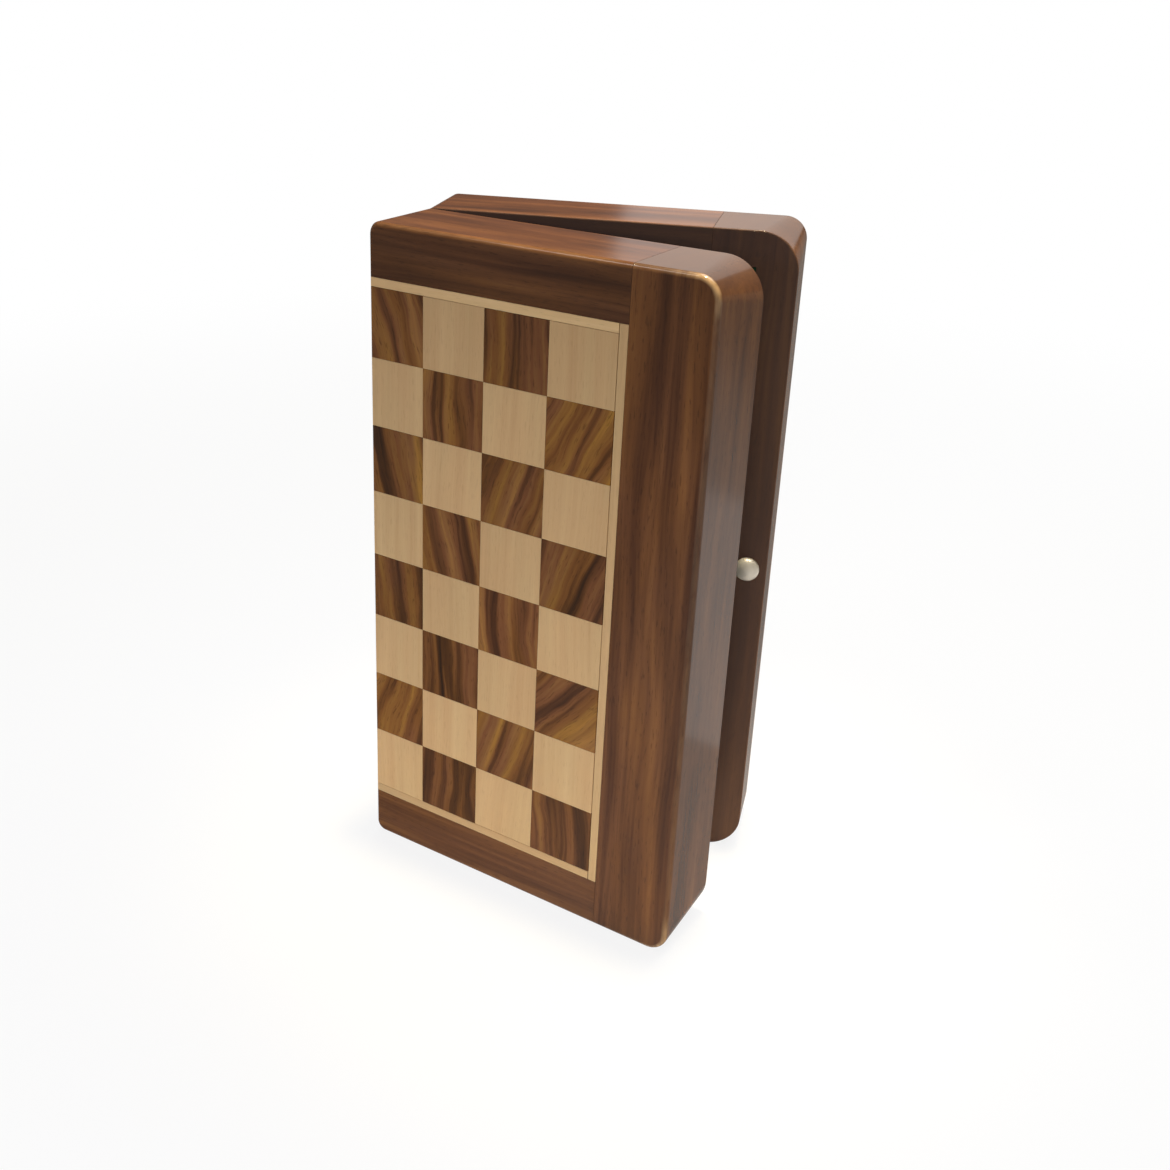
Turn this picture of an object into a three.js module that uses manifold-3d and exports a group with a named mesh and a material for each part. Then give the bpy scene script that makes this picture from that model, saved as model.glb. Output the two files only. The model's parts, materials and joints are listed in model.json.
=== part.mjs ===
// A folding magnetic chess set. Two shallow wooden trays are hinged along one long side.
// Their backs carry the board, and their insides hold the chessmen.
// Millimetres, +Z up. The set stands on its end, a little open, like a book.
import * as THREE from "three";
import { mergeVertices } from "three/addons/utils/BufferGeometryUtils.js";
import Module from "manifold-3d";

const manifold = await Module();
manifold.setup();

// Board, as seen on the playing face of one half
const square = 18.2;
const files = 4;
const ranks = 8;
const sawLoss = 1.6; // the file at the fold is narrower, where the board was sawn in two
const inlayWidth = 2.4;
const railWidth = 13.7;
const stileWidth = 21.4;
const halfDepth = 22.8;

// Walls of the tray
const endWall = 9;
const stileWall = 10.2;
const foldWall = 8.6;

// Layers, from the playing face inwards
const tileDepth = 3;
const webDepth = 0.8;
const sheetDepth = 0.5;
const panelDepth = 3;
const bondGap = 0.2; // between two glued faces
const tileGap = 0.1; // between a light square and its dark neighbours
const tileNeck = 0.1; // dark squares are this much over size, so that they join at their corners
const sheetInset = 1.2;

// Outer edges and corners
const arrisRadius = 1.3;
const foldEase = 0.5;
const rimEase = 0.4;
const faceCornerRadius = 5.6;
const rimCornerRadius = 10;
const foldCornerRadius = 2.4;
const cornerSteps = 6;
const arrisSteps = 3;

// Fold
const openAngle = THREE.MathUtils.degToRad(19);
const foldClearance = 0.15; // from the hinge axis to each rim and each fold face

// Hinges
const hingeLength = 25;
const hingeFromEnd = 37;
const leafWidth = 7.4;
const leafDepth = 0.8;
const barrelRadius = 1.5;
const pinRadius = 0.7;
const pinFit = 0.08;
const knuckles = 5;
const knuckleGap = 0.24;
const runningGap = 0.3;
const hingeScrewRadius = 0.75;
const hingeScrewHeadRadius = 1.45;
const hingeScrewSpacing = 14;
const hingeScrewFromAxis = 4.7;
const barrelSides = 16;
const screwHoleSides = 10;

// Catch: a domed stud on the rear rim snaps into a cup in the front rim
const studHeadRadius = 3.25;
const studNeckRadius = 2.5;
const studHeight = 3.1;
const studShankRadius = 1.5;
const studShankLength = 9;
const cupWall = 0.7;
const cupFit = 0.35;
const cupFloor = 0.6;
const catchSides = 20;

// Tray that holds the chessmen
const trayRecess = 1;
const pocketFit = 0.5;
const restGap = 0.3;
const pocketMargin = 5.6;

// Chessmen: height and radius of the foot
const kingHeight = 33;
const queenHeight = 30.5;
const bishopHeight = 27.5;
const knightHeight = 24.5;
const rookHeight = 21.5;
const pawnHeight = 20;
const royalFoot = 6.2;
const officerFoot = 5.8;
const pawnFoot = 5.3;
const officerSides = 12;
const pawnSides = 10;

const overrun = 1; // how far a cut runs past the face that it opens

// Places in the frame of one half: x from the hinge axis to the free side,
// y from the rims to the playing face, z from the bottom end to the top end
const foldX = foldClearance;
const fieldEndX = foldX + files * square - sawLoss;
const inlayEndX = fieldEndX + inlayWidth;
const freeX = inlayEndX + stileWidth;
const rimY = foldClearance;
const faceY = rimY + halfDepth;
const tileBackY = faceY - tileDepth;
const sheetFrontY = tileBackY - bondGap;
const sheetBackY = sheetFrontY - sheetDepth;
const panelFrontY = sheetBackY - bondGap;
const panelBackY = panelFrontY - panelDepth;
const fieldBottomZ = railWidth + inlayWidth;
const fieldTopZ = fieldBottomZ + ranks * square;
const topZ = fieldTopZ + inlayWidth + railWidth;
const cavityStartX = foldX + foldWall;
const cavityEndX = freeX - stileWall;
const catchX = freeX - stileWall / 2;
const catchZ = topZ / 2;
const cupDepth = studHeight + 2 * rimY + cupFit;
const cupRadius = studHeadRadius + cupFit + cupWall;

const rosewood = new THREE.MeshStandardMaterial({ color: 0x5b3a24, roughness: 0.35 });
const darkSquareWood = new THREE.MeshStandardMaterial({ color: 0x6f4a2a, roughness: 0.4 });
const maple = new THREE.MeshStandardMaterial({ color: 0xb48f60, roughness: 0.4 });
const boxwood = new THREE.MeshStandardMaterial({ color: 0xc79a5b, roughness: 0.35 });
const plywood = new THREE.MeshStandardMaterial({ color: 0xa98257, roughness: 0.7 });
const felt = new THREE.MeshStandardMaterial({ color: 0x1f4a33, roughness: 0.95 });
const steel = new THREE.MeshStandardMaterial({ color: 0x8c8f92, roughness: 0.45, metalness: 1 });
const brass = new THREE.MeshStandardMaterial({ color: 0xb08d4a, roughness: 0.35, metalness: 1 });
const nickel = new THREE.MeshStandardMaterial({ color: 0xc9c5bd, roughness: 0.25, metalness: 1 });

// Solids

function toSolid(geometry) {
  const bare = geometry.clone();
  bare.deleteAttribute("normal");
  bare.deleteAttribute("uv");
  const merged = mergeVertices(bare);
  return new manifold.Manifold(
    new manifold.Mesh({
      numProp: 3,
      vertProperties: new Float32Array(merged.attributes.position.array),
      triVerts: new Uint32Array(merged.index.array),
    }),
  );
}

function toMesh(name, solid, material) {
  const { vertProperties, triVerts } = solid.getMesh();
  const geometry = new THREE.BufferGeometry();
  geometry.setAttribute("position", new THREE.BufferAttribute(new Float32Array(vertProperties), 3));
  geometry.setIndex(new THREE.BufferAttribute(new Uint32Array(triVerts), 1));
  geometry.computeVertexNormals();
  const mesh = new THREE.Mesh(geometry, material);
  mesh.name = name;
  return mesh;
}

function join(...solids) {
  return solids.reduce((sum, next) => sum.add(next));
}

function cut(solid, ...tools) {
  return tools.reduce((rest, tool) => rest.subtract(tool), solid);
}

function block([x0, x1], [y0, y1], [z0, z1]) {
  const geometry = new THREE.BoxGeometry(x1 - x0, y1 - y0, z1 - z0);
  geometry.translate((x0 + x1) / 2, (y0 + y1) / 2, (z0 + z1) / 2);
  return toSolid(geometry);
}

// A round bar or hole along Z
function roundAlongZ(radius, [z0, z1], sides, x = 0, y = 0) {
  const geometry = new THREE.CylinderGeometry(radius, radius, z1 - z0, sides);
  geometry.rotateX(Math.PI / 2);
  geometry.translate(x, y, (z0 + z1) / 2);
  return toSolid(geometry);
}

// A turned solid about an axis along Y, from points of radius and y
function turned(points, sides, x = 0, z = 0) {
  const profile = points.map(([radius, y]) => new THREE.Vector2(radius, y));
  const geometry = new THREE.LatheGeometry(profile, sides);
  geometry.translate(x, 0, z);
  return toSolid(geometry);
}

// Outer shape of one half

// How far the outline draws in at a height y, for a face edge that is eased by `ease`
function easeAt(y, ease) {
  if (y < rimY + rimEase) return rimEase - (y - rimY);
  const rise = (y - (faceY - arrisRadius)) / arrisRadius;
  return rise > 0 ? ease * (1 - Math.sqrt(Math.max(0, 1 - rise * rise))) : 0;
}

// The outline in x and z at a height y. The free corners are rounder at the rim than at the face.
function outlineAt(y) {
  const side = easeAt(y, arrisRadius);
  const fold = easeAt(y, foldEase);
  const freeRadius = THREE.MathUtils.mapLinear(y, rimY, faceY, rimCornerRadius, faceCornerRadius) - side;
  const corners = [
    { x: foldX + fold, z: side, radius: foldCornerRadius, turn: 2, inX: 1, inZ: 1 },
    { x: freeX - side, z: side, radius: freeRadius, turn: 3, inX: -1, inZ: 1 },
    { x: freeX - side, z: topZ - side, radius: freeRadius, turn: 0, inX: -1, inZ: -1 },
    { x: foldX + fold, z: topZ - side, radius: foldCornerRadius, turn: 1, inX: 1, inZ: -1 },
  ];
  return corners.flatMap(({ x, z, radius, turn, inX, inZ }) =>
    Array.from({ length: cornerSteps + 1 }, (_, step) => {
      const angle = ((turn + step / cornerSteps) * Math.PI) / 2;
      return [
        x + inX * radius + radius * Math.cos(angle),
        y,
        z + inZ * radius + radius * Math.sin(angle),
      ];
    }),
  );
}

// A solid through outlines of equally many points, stacked along +y
function loft(outlines) {
  const count = outlines[0].length;
  const index = [];
  for (let layer = 0; layer + 1 < outlines.length; layer++) {
    for (let i = 0; i < count; i++) {
      const a = layer * count + i;
      const b = layer * count + ((i + 1) % count);
      index.push(a, b + count, b, a, a + count, b + count);
    }
  }
  const last = (outlines.length - 1) * count;
  for (let i = 1; i + 1 < count; i++) {
    index.push(0, i, i + 1, last, last + i + 1, last + i);
  }
  const geometry = new THREE.BufferGeometry();
  geometry.setAttribute("position", new THREE.Float32BufferAttribute(outlines.flat(2), 3));
  geometry.setIndex(index);
  return toSolid(geometry);
}

function halfEnvelope() {
  const heights = [rimY, rimY + rimEase];
  for (let step = 0; step <= arrisSteps; step++) {
    const lift = Math.sin(((step / arrisSteps) * Math.PI) / 2);
    heights.push(faceY - arrisRadius * (1 - lift));
  }
  return loft(heights.map(outlineAt));
}

const envelope = halfEnvelope();

// Frame of one half

// A rail is full width at the playing face, and a thinner wall behind the board
function endRail(span, rebateSpan) {
  const bar = block([foldX, inlayEndX - bondGap], [rimY, faceY], span);
  const rebate = block(
    [foldX - overrun, inlayEndX + overrun],
    [rimY - overrun, sheetBackY],
    rebateSpan,
  );
  return cut(bar, rebate).intersect(envelope);
}

function bottomRail() {
  return endRail([0, railWidth], [endWall, railWidth + overrun]);
}

function topRail() {
  return endRail([topZ - railWidth, topZ], [topZ - railWidth - overrun, topZ - endWall]);
}

function catchHole(radius, depth) {
  return turned(
    [
      [0, rimY - overrun],
      [radius, rimY - overrun],
      [radius, rimY + depth],
      [0, rimY + depth],
    ],
    catchSides,
    catchX,
    catchZ,
  );
}

function stile(hole) {
  const bar = block([inlayEndX, freeX], [rimY, faceY], [0, topZ]);
  const cavity = block(
    [inlayEndX - overrun, cavityEndX],
    [rimY - overrun, sheetBackY],
    [endWall, topZ - endWall],
  );
  return cut(bar.intersect(envelope), cavity, hole);
}

const hingeStarts = [hingeFromEnd, topZ - hingeFromEnd - hingeLength];

function hingeSeat(startZ) {
  const span = [startZ - bondGap, startZ + hingeLength + bondGap];
  const mortise = block(
    [foldX - overrun, leafWidth + bondGap],
    [rimY - overrun, rimY + leafDepth + bondGap],
    span,
  );
  return join(mortise, roundAlongZ(barrelRadius + runningGap, span, barrelSides));
}

function foldSideWall() {
  const bar = block(
    [foldX, cavityStartX],
    [rimY, panelBackY - bondGap],
    [endWall + bondGap, topZ - endWall - bondGap],
  );
  return cut(bar.intersect(envelope), ...hingeStarts.map(hingeSeat));
}

// Board layers

function backingPanel() {
  return block(
    [foldX, cavityEndX - bondGap],
    [panelBackY, panelFrontY],
    [endWall + bondGap, topZ - endWall - bondGap],
  );
}

function steelSheet() {
  return block(
    [foldX + sheetInset, fieldEndX + inlayWidth - bondGap],
    [sheetBackY, sheetFrontY],
    [railWidth + bondGap, topZ - railWidth - bondGap],
  );
}

// Cells of one colour, each as its edges in x and z drawn in by `margin`.
// An edge on the border of the field keeps its place, or runs past it by `past`.
function cellsOf(parity, margin, past = 0) {
  const cells = [];
  for (let file = 0; file < files; file++) {
    for (let rank = 0; rank < ranks; rank++) {
      if ((file + rank) % 2 !== parity) continue;
      const x0 = foldX - sawLoss + file * square;
      const z1 = fieldTopZ - rank * square;
      cells.push([
        [
          file === 0 ? foldX - past : x0 + margin,
          file === files - 1 ? fieldEndX - bondGap + past : x0 + square - margin,
        ],
        [
          rank === ranks - 1 ? fieldBottomZ + bondGap - past : z1 - square + margin,
          rank === 0 ? fieldTopZ - bondGap + past : z1 - margin,
        ],
      ]);
    }
  }
  return cells;
}

const fieldX = [foldX, fieldEndX - bondGap];
const fieldZ = [fieldBottomZ + bondGap, fieldTopZ - bondGap];

// The light squares stand on one thin sheet, as veneer does
function lightSquares(parity) {
  const web = block(fieldX, [tileBackY, tileBackY + webDepth], fieldZ);
  const tiles = cellsOf(parity, tileNeck + tileGap).map(([x, z]) => block(x, [tileBackY, faceY], z));
  return join(web, ...tiles).intersect(envelope);
}

// The dark squares are one plate that the light squares come up through
function darkSquares(lightParity) {
  const plate = block(fieldX, [tileBackY + webDepth + bondGap, faceY], fieldZ);
  const holes = cellsOf(lightParity, tileNeck, overrun).map(([x, z]) =>
    block(x, [tileBackY, faceY + overrun], z),
  );
  return cut(plate, ...holes).intersect(envelope);
}

// The pale line runs round three sides of the squares
function inlayLine() {
  const outer = block(
    [foldX, inlayEndX - bondGap],
    [tileBackY, faceY],
    [railWidth + bondGap, topZ - railWidth - bondGap],
  );
  const field = block(
    [foldX - overrun, fieldEndX],
    [tileBackY - overrun, faceY + overrun],
    [fieldBottomZ, fieldTopZ],
  );
  return cut(outer, field).intersect(envelope);
}

// Tray for the chessmen

// Places in a row of officers, from the bottom of the tray
const officerRow = [
  { kind: "rook_1", make: rook, height: rookHeight, foot: officerFoot },
  { kind: "knight_1", make: knight, height: knightHeight, foot: officerFoot },
  { kind: "bishop_1", make: bishop, height: bishopHeight, foot: officerFoot },
  { kind: "queen", make: queen, height: queenHeight, foot: royalFoot },
  { kind: "king", make: king, height: kingHeight, foot: royalFoot },
  { kind: "bishop_2", make: bishop, height: bishopHeight, foot: officerFoot },
  { kind: "knight_2", make: knight, height: knightHeight, foot: officerFoot },
  { kind: "rook_2", make: rook, height: rookHeight, foot: officerFoot },
];

const trayStartX = cavityStartX + bondGap;
const trayEndX = cavityEndX - bondGap;
const trayRimY = rimY + trayRecess;
const trayBottomZ = endWall + bondGap;
const pocketPitch = (topZ - 2 * trayBottomZ) / ranks;
const pocketMiddleShare = 0.5;
const pawnPocketX = trayStartX + pocketMargin;
const officerPocketEndX = trayEndX - pocketMargin;

function placeZ(place) {
  return trayBottomZ + (place + pocketMiddleShare) * pocketPitch;
}

function pocketDepth(foot) {
  return 2 * foot + pocketFit;
}

// A pocket is as long as the man that lies in it, and is open at the rim side of the tray
function pocket([startX, endX], foot, place) {
  const halfWidth = foot + pocketFit;
  return block(
    [startX, endX],
    [trayRimY - overrun, trayRimY + pocketDepth(foot)],
    [placeZ(place) - halfWidth, placeZ(place) + halfWidth],
  );
}

function pawnPocket(place) {
  return pocket([pawnPocketX, pawnPocketX + pawnHeight + 2 * pocketFit], pawnFoot, place);
}

function officerPocket({ height, foot }, place) {
  return pocket([officerPocketEndX - height - 2 * pocketFit, officerPocketEndX], foot, place);
}

function pieceTray() {
  const slab = block(
    [trayStartX, trayEndX],
    [trayRimY, panelBackY - bondGap],
    [trayBottomZ, topZ - trayBottomZ],
  );
  const pawnPockets = Array.from({ length: ranks }, (_, place) => pawnPocket(place));
  return cut(slab, ...pawnPockets, ...officerRow.map(officerPocket));
}

// Chessmen, each standing along +Y from its foot at 0. An outline lists radius and height as shares
// of the foot's radius and the man's height.

const footShares = [
  [0, 0],
  [1, 0],
  [1, 0.06],
  [0.86, 0.12],
];

const pawnShares = [
  [0, 0],
  [1, 0],
  [1, 0.12],
  [0.72, 0.2],
  [0.4, 0.36],
  [0.32, 0.56],
  [0.6, 0.6],
  [0.34, 0.65],
  [0.54, 0.76],
  [0.46, 0.92],
  [0, 1],
];

const rookShares = [
  ...footShares,
  [0.6, 0.26],
  [0.48, 0.6],
  [0.72, 0.7],
  [0.72, 1],
  [0.46, 1],
  [0.46, 0.88],
  [0, 0.88],
];

const bishopShares = [
  ...footShares,
  [0.5, 0.24],
  [0.32, 0.54],
  [0.62, 0.58],
  [0.34, 0.62],
  [0.54, 0.74],
  [0.36, 0.88],
  [0.1, 0.94],
  [0.15, 0.97],
  [0, 1],
];

const queenShares = [
  ...footShares,
  [0.5, 0.22],
  [0.32, 0.54],
  [0.62, 0.59],
  [0.36, 0.64],
  [0.62, 0.9],
  [0.44, 0.9],
  [0.16, 0.92],
  [0.2, 0.96],
  [0, 1],
];

const kingShares = [
  ...footShares,
  [0.5, 0.2],
  [0.34, 0.52],
  [0.66, 0.57],
  [0.38, 0.62],
  [0.62, 0.82],
  [0.2, 0.88],
  [0, 0.88],
];

const knightFootShares = [
  ...footShares,
  [0.64, 0.22],
  [0.7, 0.3],
  [0, 0.3],
];

// Side view of the knight's head, as shares: across from the middle, and up
const horseHeadShares = [
  [-0.56, 0.28],
  [-0.68, 0.5],
  [-0.6, 0.74],
  [-0.32, 0.93],
  [-0.2, 1],
  [-0.1, 0.93],
  [0.22, 0.84],
  [0.74, 0.64],
  [0.7, 0.54],
  [0.48, 0.52],
  [0.14, 0.6],
  [0.3, 0.46],
  [0.56, 0.28],
];

// Small cuts and trims of the men, as shares of the foot's radius or the height
const rookSlotShare = 0.3;
const rookSlotFloorShare = 0.9;
const mitreSlotShare = 0.14;
const mitreSlotHeightShare = 0.8;
const mitreSlotTilt = THREE.MathUtils.degToRad(35);
const crownNotches = 6;
const crownNotchShare = 0.2;
const crownNotchFloorShare = 0.86;
const crossBarShare = 0.15;
const crossFootShare = 0.86;
const crossArmShare = 0.36;
const crossArmHeightShare = 0.95;
const horseThicknessShare = 0.78;

function turnedMan(shares, foot, height, sides) {
  return turned(
    shares.map(([radius, up]) => [radius * foot, up * height]),
    sides,
  );
}

function pawn() {
  return turnedMan(pawnShares, pawnFoot, pawnHeight, pawnSides);
}

function rook() {
  const slot = (rookSlotShare * officerFoot) / 2;
  const up = [rookSlotFloorShare * rookHeight, rookHeight + overrun];
  return cut(
    turnedMan(rookShares, officerFoot, rookHeight, officerSides),
    block([-officerFoot, officerFoot], up, [-slot, slot]),
    block([-slot, slot], up, [-officerFoot, officerFoot]),
  );
}

function bishop() {
  const slot = new THREE.BoxGeometry(officerFoot, mitreSlotShare * officerFoot, 2 * officerFoot);
  slot.translate(officerFoot / 2, 0, 0);
  slot.rotateZ(mitreSlotTilt);
  slot.translate(0, mitreSlotHeightShare * bishopHeight, 0);
  return cut(turnedMan(bishopShares, officerFoot, bishopHeight, officerSides), toSolid(slot));
}

function queen() {
  const notch = (crownNotchShare * royalFoot) / 2;
  const notches = Array.from({ length: crownNotches }, (_, i) => {
    const geometry = new THREE.BoxGeometry(royalFoot, queenHeight, 2 * notch);
    geometry.translate(royalFoot * (1 / 2 + 2 * crownNotchShare), queenHeight / 2, 0);
    geometry.translate(0, crownNotchFloorShare * queenHeight, 0);
    geometry.rotateY((i / crownNotches) * 2 * Math.PI);
    return toSolid(geometry);
  });
  return cut(turnedMan(queenShares, royalFoot, queenHeight, officerSides), ...notches);
}

function king() {
  const bar = (crossBarShare * royalFoot) / 2;
  const arm = crossArmShare * royalFoot;
  const armY = crossArmHeightShare * kingHeight;
  return join(
    turnedMan(kingShares, royalFoot, kingHeight, officerSides),
    block([-bar, bar], [crossFootShare * kingHeight, kingHeight], [-bar, bar]),
    block([-bar, bar], [armY - bar, armY + bar], [-arm, arm]),
  );
}

function knight() {
  const outline = horseHeadShares.map(
    ([across, up]) => new THREE.Vector2(across * officerFoot, up * knightHeight),
  );
  const thickness = horseThicknessShare * officerFoot;
  const head = new THREE.ExtrudeGeometry(new THREE.Shape(outline), {
    depth: thickness,
    bevelEnabled: false,
  });
  head.translate(0, 0, -thickness / 2);
  head.rotateY(Math.PI / 2);
  return join(turnedMan(knightFootShares, officerFoot, knightHeight, officerSides), toSolid(head));
}

function manY(foot) {
  return trayRimY + pocketDepth(foot) - restGap - foot;
}

// The men lie on the floor of their pockets. Officers have their feet towards the free side,
// and pawns towards the fold.
function addMen(half, colour, material) {
  officerRow.forEach(({ kind, make, foot }, place) => {
    const man = toMesh(`${colour}_${kind}`, make(), material);
    man.rotation.z = Math.PI / 2;
    man.position.set(officerPocketEndX - restGap, manY(foot), placeZ(place));
    half.add(man);
  });
  for (let place = 0; place < ranks; place++) {
    const man = toMesh(`${colour}_pawn_${place + 1}`, pawn(), material);
    man.rotation.z = -Math.PI / 2;
    man.position.set(pawnPocketX + restGap, manY(pawnFoot), placeZ(place));
    half.add(man);
  }
}

// Hinges

const knuckleLength = hingeLength / knuckles;

function knuckleSpan(startZ, i, gap) {
  return [startZ + i * knuckleLength + gap, startZ + (i + 1) * knuckleLength - gap];
}

function screwHole(z) {
  return turned(
    [
      [0, rimY - overrun],
      [hingeScrewHeadRadius, rimY - overrun],
      [hingeScrewHeadRadius, rimY],
      [hingeScrewRadius, rimY + leafDepth],
      [hingeScrewRadius, rimY + leafDepth + overrun],
      [0, rimY + leafDepth + overrun],
    ],
    screwHoleSides,
    hingeScrewFromAxis,
    z,
  );
}

// A leaf holds the knuckles whose number is even (first = 0) or odd (first = 1)
function hingeLeaf(startZ, first) {
  const span = [startZ, startZ + hingeLength];
  const own = [];
  const others = [];
  for (let i = 0; i < knuckles; i++) {
    if (i % 2 === first) {
      own.push(roundAlongZ(barrelRadius, knuckleSpan(startZ, i, knuckleGap / 2), barrelSides));
    } else {
      const radius = barrelRadius + runningGap;
      others.push(roundAlongZ(radius, knuckleSpan(startZ, i, -knuckleGap / 2), barrelSides));
    }
  }
  const plate = block([0, leafWidth], [rimY, rimY + leafDepth], span);
  const bore = roundAlongZ(pinRadius + pinFit, [startZ - overrun, span[1] + overrun], barrelSides);
  const middle = startZ + hingeLength / 2;
  const screws = [-hingeScrewSpacing / 2, hingeScrewSpacing / 2].map((dz) => screwHole(middle + dz));
  return cut(join(plate, ...own), bore, ...others, ...screws);
}

function hingePin(startZ) {
  return roundAlongZ(pinRadius, [startZ, startZ + hingeLength], barrelSides);
}

// Catch

const studHeadShares = [
  [0.36, 0.97],
  [0.7, 0.82],
  [0.92, 0.6],
  [1, 0.4],
  [0.95, 0.22],
];

function catchStud() {
  const head = studHeadShares.map(([radius, up]) => [radius * studHeadRadius, rimY - up * studHeight]);
  return turned(
    [
      [0, rimY - studHeight],
      ...head,
      [studNeckRadius, rimY - foldClearance],
      [studShankRadius, rimY - foldClearance],
      [studShankRadius, rimY + studShankLength],
      [0, rimY + studShankLength],
    ],
    catchSides,
    catchX,
    catchZ,
  );
}

function catchCup() {
  const bore = cupRadius - cupWall;
  return turned(
    [
      [0, rimY + cupDepth],
      [bore, rimY + cupDepth],
      [bore, rimY],
      [cupRadius, rimY],
      [cupRadius, rimY + cupDepth + cupFloor],
      [0, rimY + cupDepth + cupFloor],
    ],
    catchSides,
    catchX,
    catchZ,
  );
}

// Assembly

function addHalf(half, side, lightParity, hole, menColour, menMaterial) {
  const parts = [
    ["bottom_rail", bottomRail(), rosewood],
    ["top_rail", topRail(), rosewood],
    ["stile", stile(hole), rosewood],
    ["fold_wall", foldSideWall(), rosewood],
    ["backing_panel", backingPanel(), plywood],
    ["steel_sheet", steelSheet(), steel],
    ["light_squares", lightSquares(lightParity), maple],
    ["dark_squares", darkSquares(lightParity), darkSquareWood],
    ["inlay_line", inlayLine(), maple],
    ["piece_tray", pieceTray(), felt],
  ];
  for (const [name, solid, material] of parts) {
    half.add(toMesh(`${side}_${name}`, solid, material));
  }
  addMen(half, menColour, menMaterial);
}

const set = new THREE.Group();

// The front half is the mirror image of the rear one
const frontHalf = new THREE.Group();
frontHalf.scale.y = -1;
addHalf(
  frontHalf,
  "front",
  1,
  catchHole(cupRadius + bondGap, cupDepth + cupFloor + bondGap),
  "dark",
  rosewood,
);
frontHalf.add(toMesh("catch_cup", catchCup(), nickel));
set.add(frontHalf);

const rearHalf = new THREE.Group();
rearHalf.rotation.z = openAngle;
addHalf(
  rearHalf,
  "rear",
  0,
  catchHole(studShankRadius + bondGap, studShankLength + bondGap),
  "light",
  boxwood,
);
rearHalf.add(toMesh("catch_stud", catchStud(), nickel));
set.add(rearHalf);

hingeStarts.forEach((startZ, i) => {
  const which = ["lower", "upper"][i];
  frontHalf.add(toMesh(`${which}_hinge_front_leaf`, hingeLeaf(startZ, 0), brass));
  frontHalf.add(toMesh(`${which}_hinge_pin`, hingePin(startZ), brass));
  rearHalf.add(toMesh(`${which}_hinge_rear_leaf`, hingeLeaf(startZ, 1), brass));
});

// The origin is the middle of the footprint, on the surface that the set stands on
const bounds = new THREE.Box3().setFromObject(set, true);
const middle = bounds.getCenter(new THREE.Vector3());
set.position.set(-middle.x, -middle.y, -bounds.min.z);

export default set;
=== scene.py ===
import json
import math
import random

import bmesh
import bpy
from mathutils import Matrix, Vector


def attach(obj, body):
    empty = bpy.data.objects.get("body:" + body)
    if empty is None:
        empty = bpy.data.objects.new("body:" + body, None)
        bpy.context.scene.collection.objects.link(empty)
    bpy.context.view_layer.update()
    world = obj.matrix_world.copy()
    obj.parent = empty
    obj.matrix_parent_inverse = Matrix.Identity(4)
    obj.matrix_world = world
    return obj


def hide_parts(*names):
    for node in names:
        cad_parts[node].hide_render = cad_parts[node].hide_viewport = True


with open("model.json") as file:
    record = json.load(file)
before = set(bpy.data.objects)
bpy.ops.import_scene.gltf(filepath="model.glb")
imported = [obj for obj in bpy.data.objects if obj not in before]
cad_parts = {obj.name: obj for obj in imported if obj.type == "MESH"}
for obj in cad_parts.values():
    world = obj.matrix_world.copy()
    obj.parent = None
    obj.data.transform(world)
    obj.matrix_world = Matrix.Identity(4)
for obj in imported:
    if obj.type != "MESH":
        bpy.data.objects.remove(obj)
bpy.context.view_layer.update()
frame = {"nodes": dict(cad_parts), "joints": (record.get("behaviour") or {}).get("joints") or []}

# A magnetic folding chess set, ajar on its end. Metres, +Z up.
# Places in one half are (u, v, z): u from the hinge axis to the side that opens,
# v from the rims to the playing face, and z up.

MM = 0.001
WHITE = (1, 1, 1, 1)
FOLD = frame["joints"][0]
HINGE_AXIS = Vector((FOLD["pos_m"][0], FOLD["pos_m"][1], 0))
OPEN_ANGLE = -math.radians(FOLD["range_deg"][0])
PLACES = {
    "front": Matrix.Translation(HINGE_AXIS),
    "rear": Matrix.Translation(HINGE_AXIS) @ Matrix.Rotation(OPEN_ANGLE, 4, "Z"),
}
MIRROR = Matrix.Scale(-1, 4, (0, 1, 0))  # the front half is the mirror image of the rear one
BODIES = {"front": "front_half", "rear": "rear_half"}


def half_box(node, side="front"):
    """Lowest and highest corner of a CAD node in the (u, v, z) of its half."""
    inverse = PLACES[side].inverted()
    points = [inverse @ vertex.co for vertex in frame["nodes"][node].data.vertices]
    if side == "front":
        points = [MIRROR @ point for point in points]
    low = Vector([min(point[i] for point in points) for i in range(3)])
    high = Vector([max(point[i] for point in points) for i in range(3)])
    return low, high


STILE_LOW, STILE_HIGH = half_box("front_stile")
RAIL_LOW, RAIL_HIGH = half_box("front_bottom_rail")
FIELD_LOW, FIELD_HIGH = half_box("front_dark_squares")
PANEL_LOW, PANEL_HIGH = half_box("front_backing_panel")
TRAY_LOW, TRAY_HIGH = half_box("front_piece_tray")
FOLD_WALL_LOW, FOLD_WALL_HIGH = half_box("front_fold_wall")

LEAF_LOW, LEAF_HIGH = half_box("lower_hinge_front_leaf")
STUD_LOW, STUD_HIGH = half_box("catch_stud", "rear")
CUP_LOW, CUP_HIGH = half_box("catch_cup")

BOND = 0.2 * MM  # the CAD model's gap between glued faces
HAIRLINE = 0.03 * MM  # half of a glued joint as it shows
JOINT_EASE = 0.06 * MM
GLUE_LINE = 0.14 * MM

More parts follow.
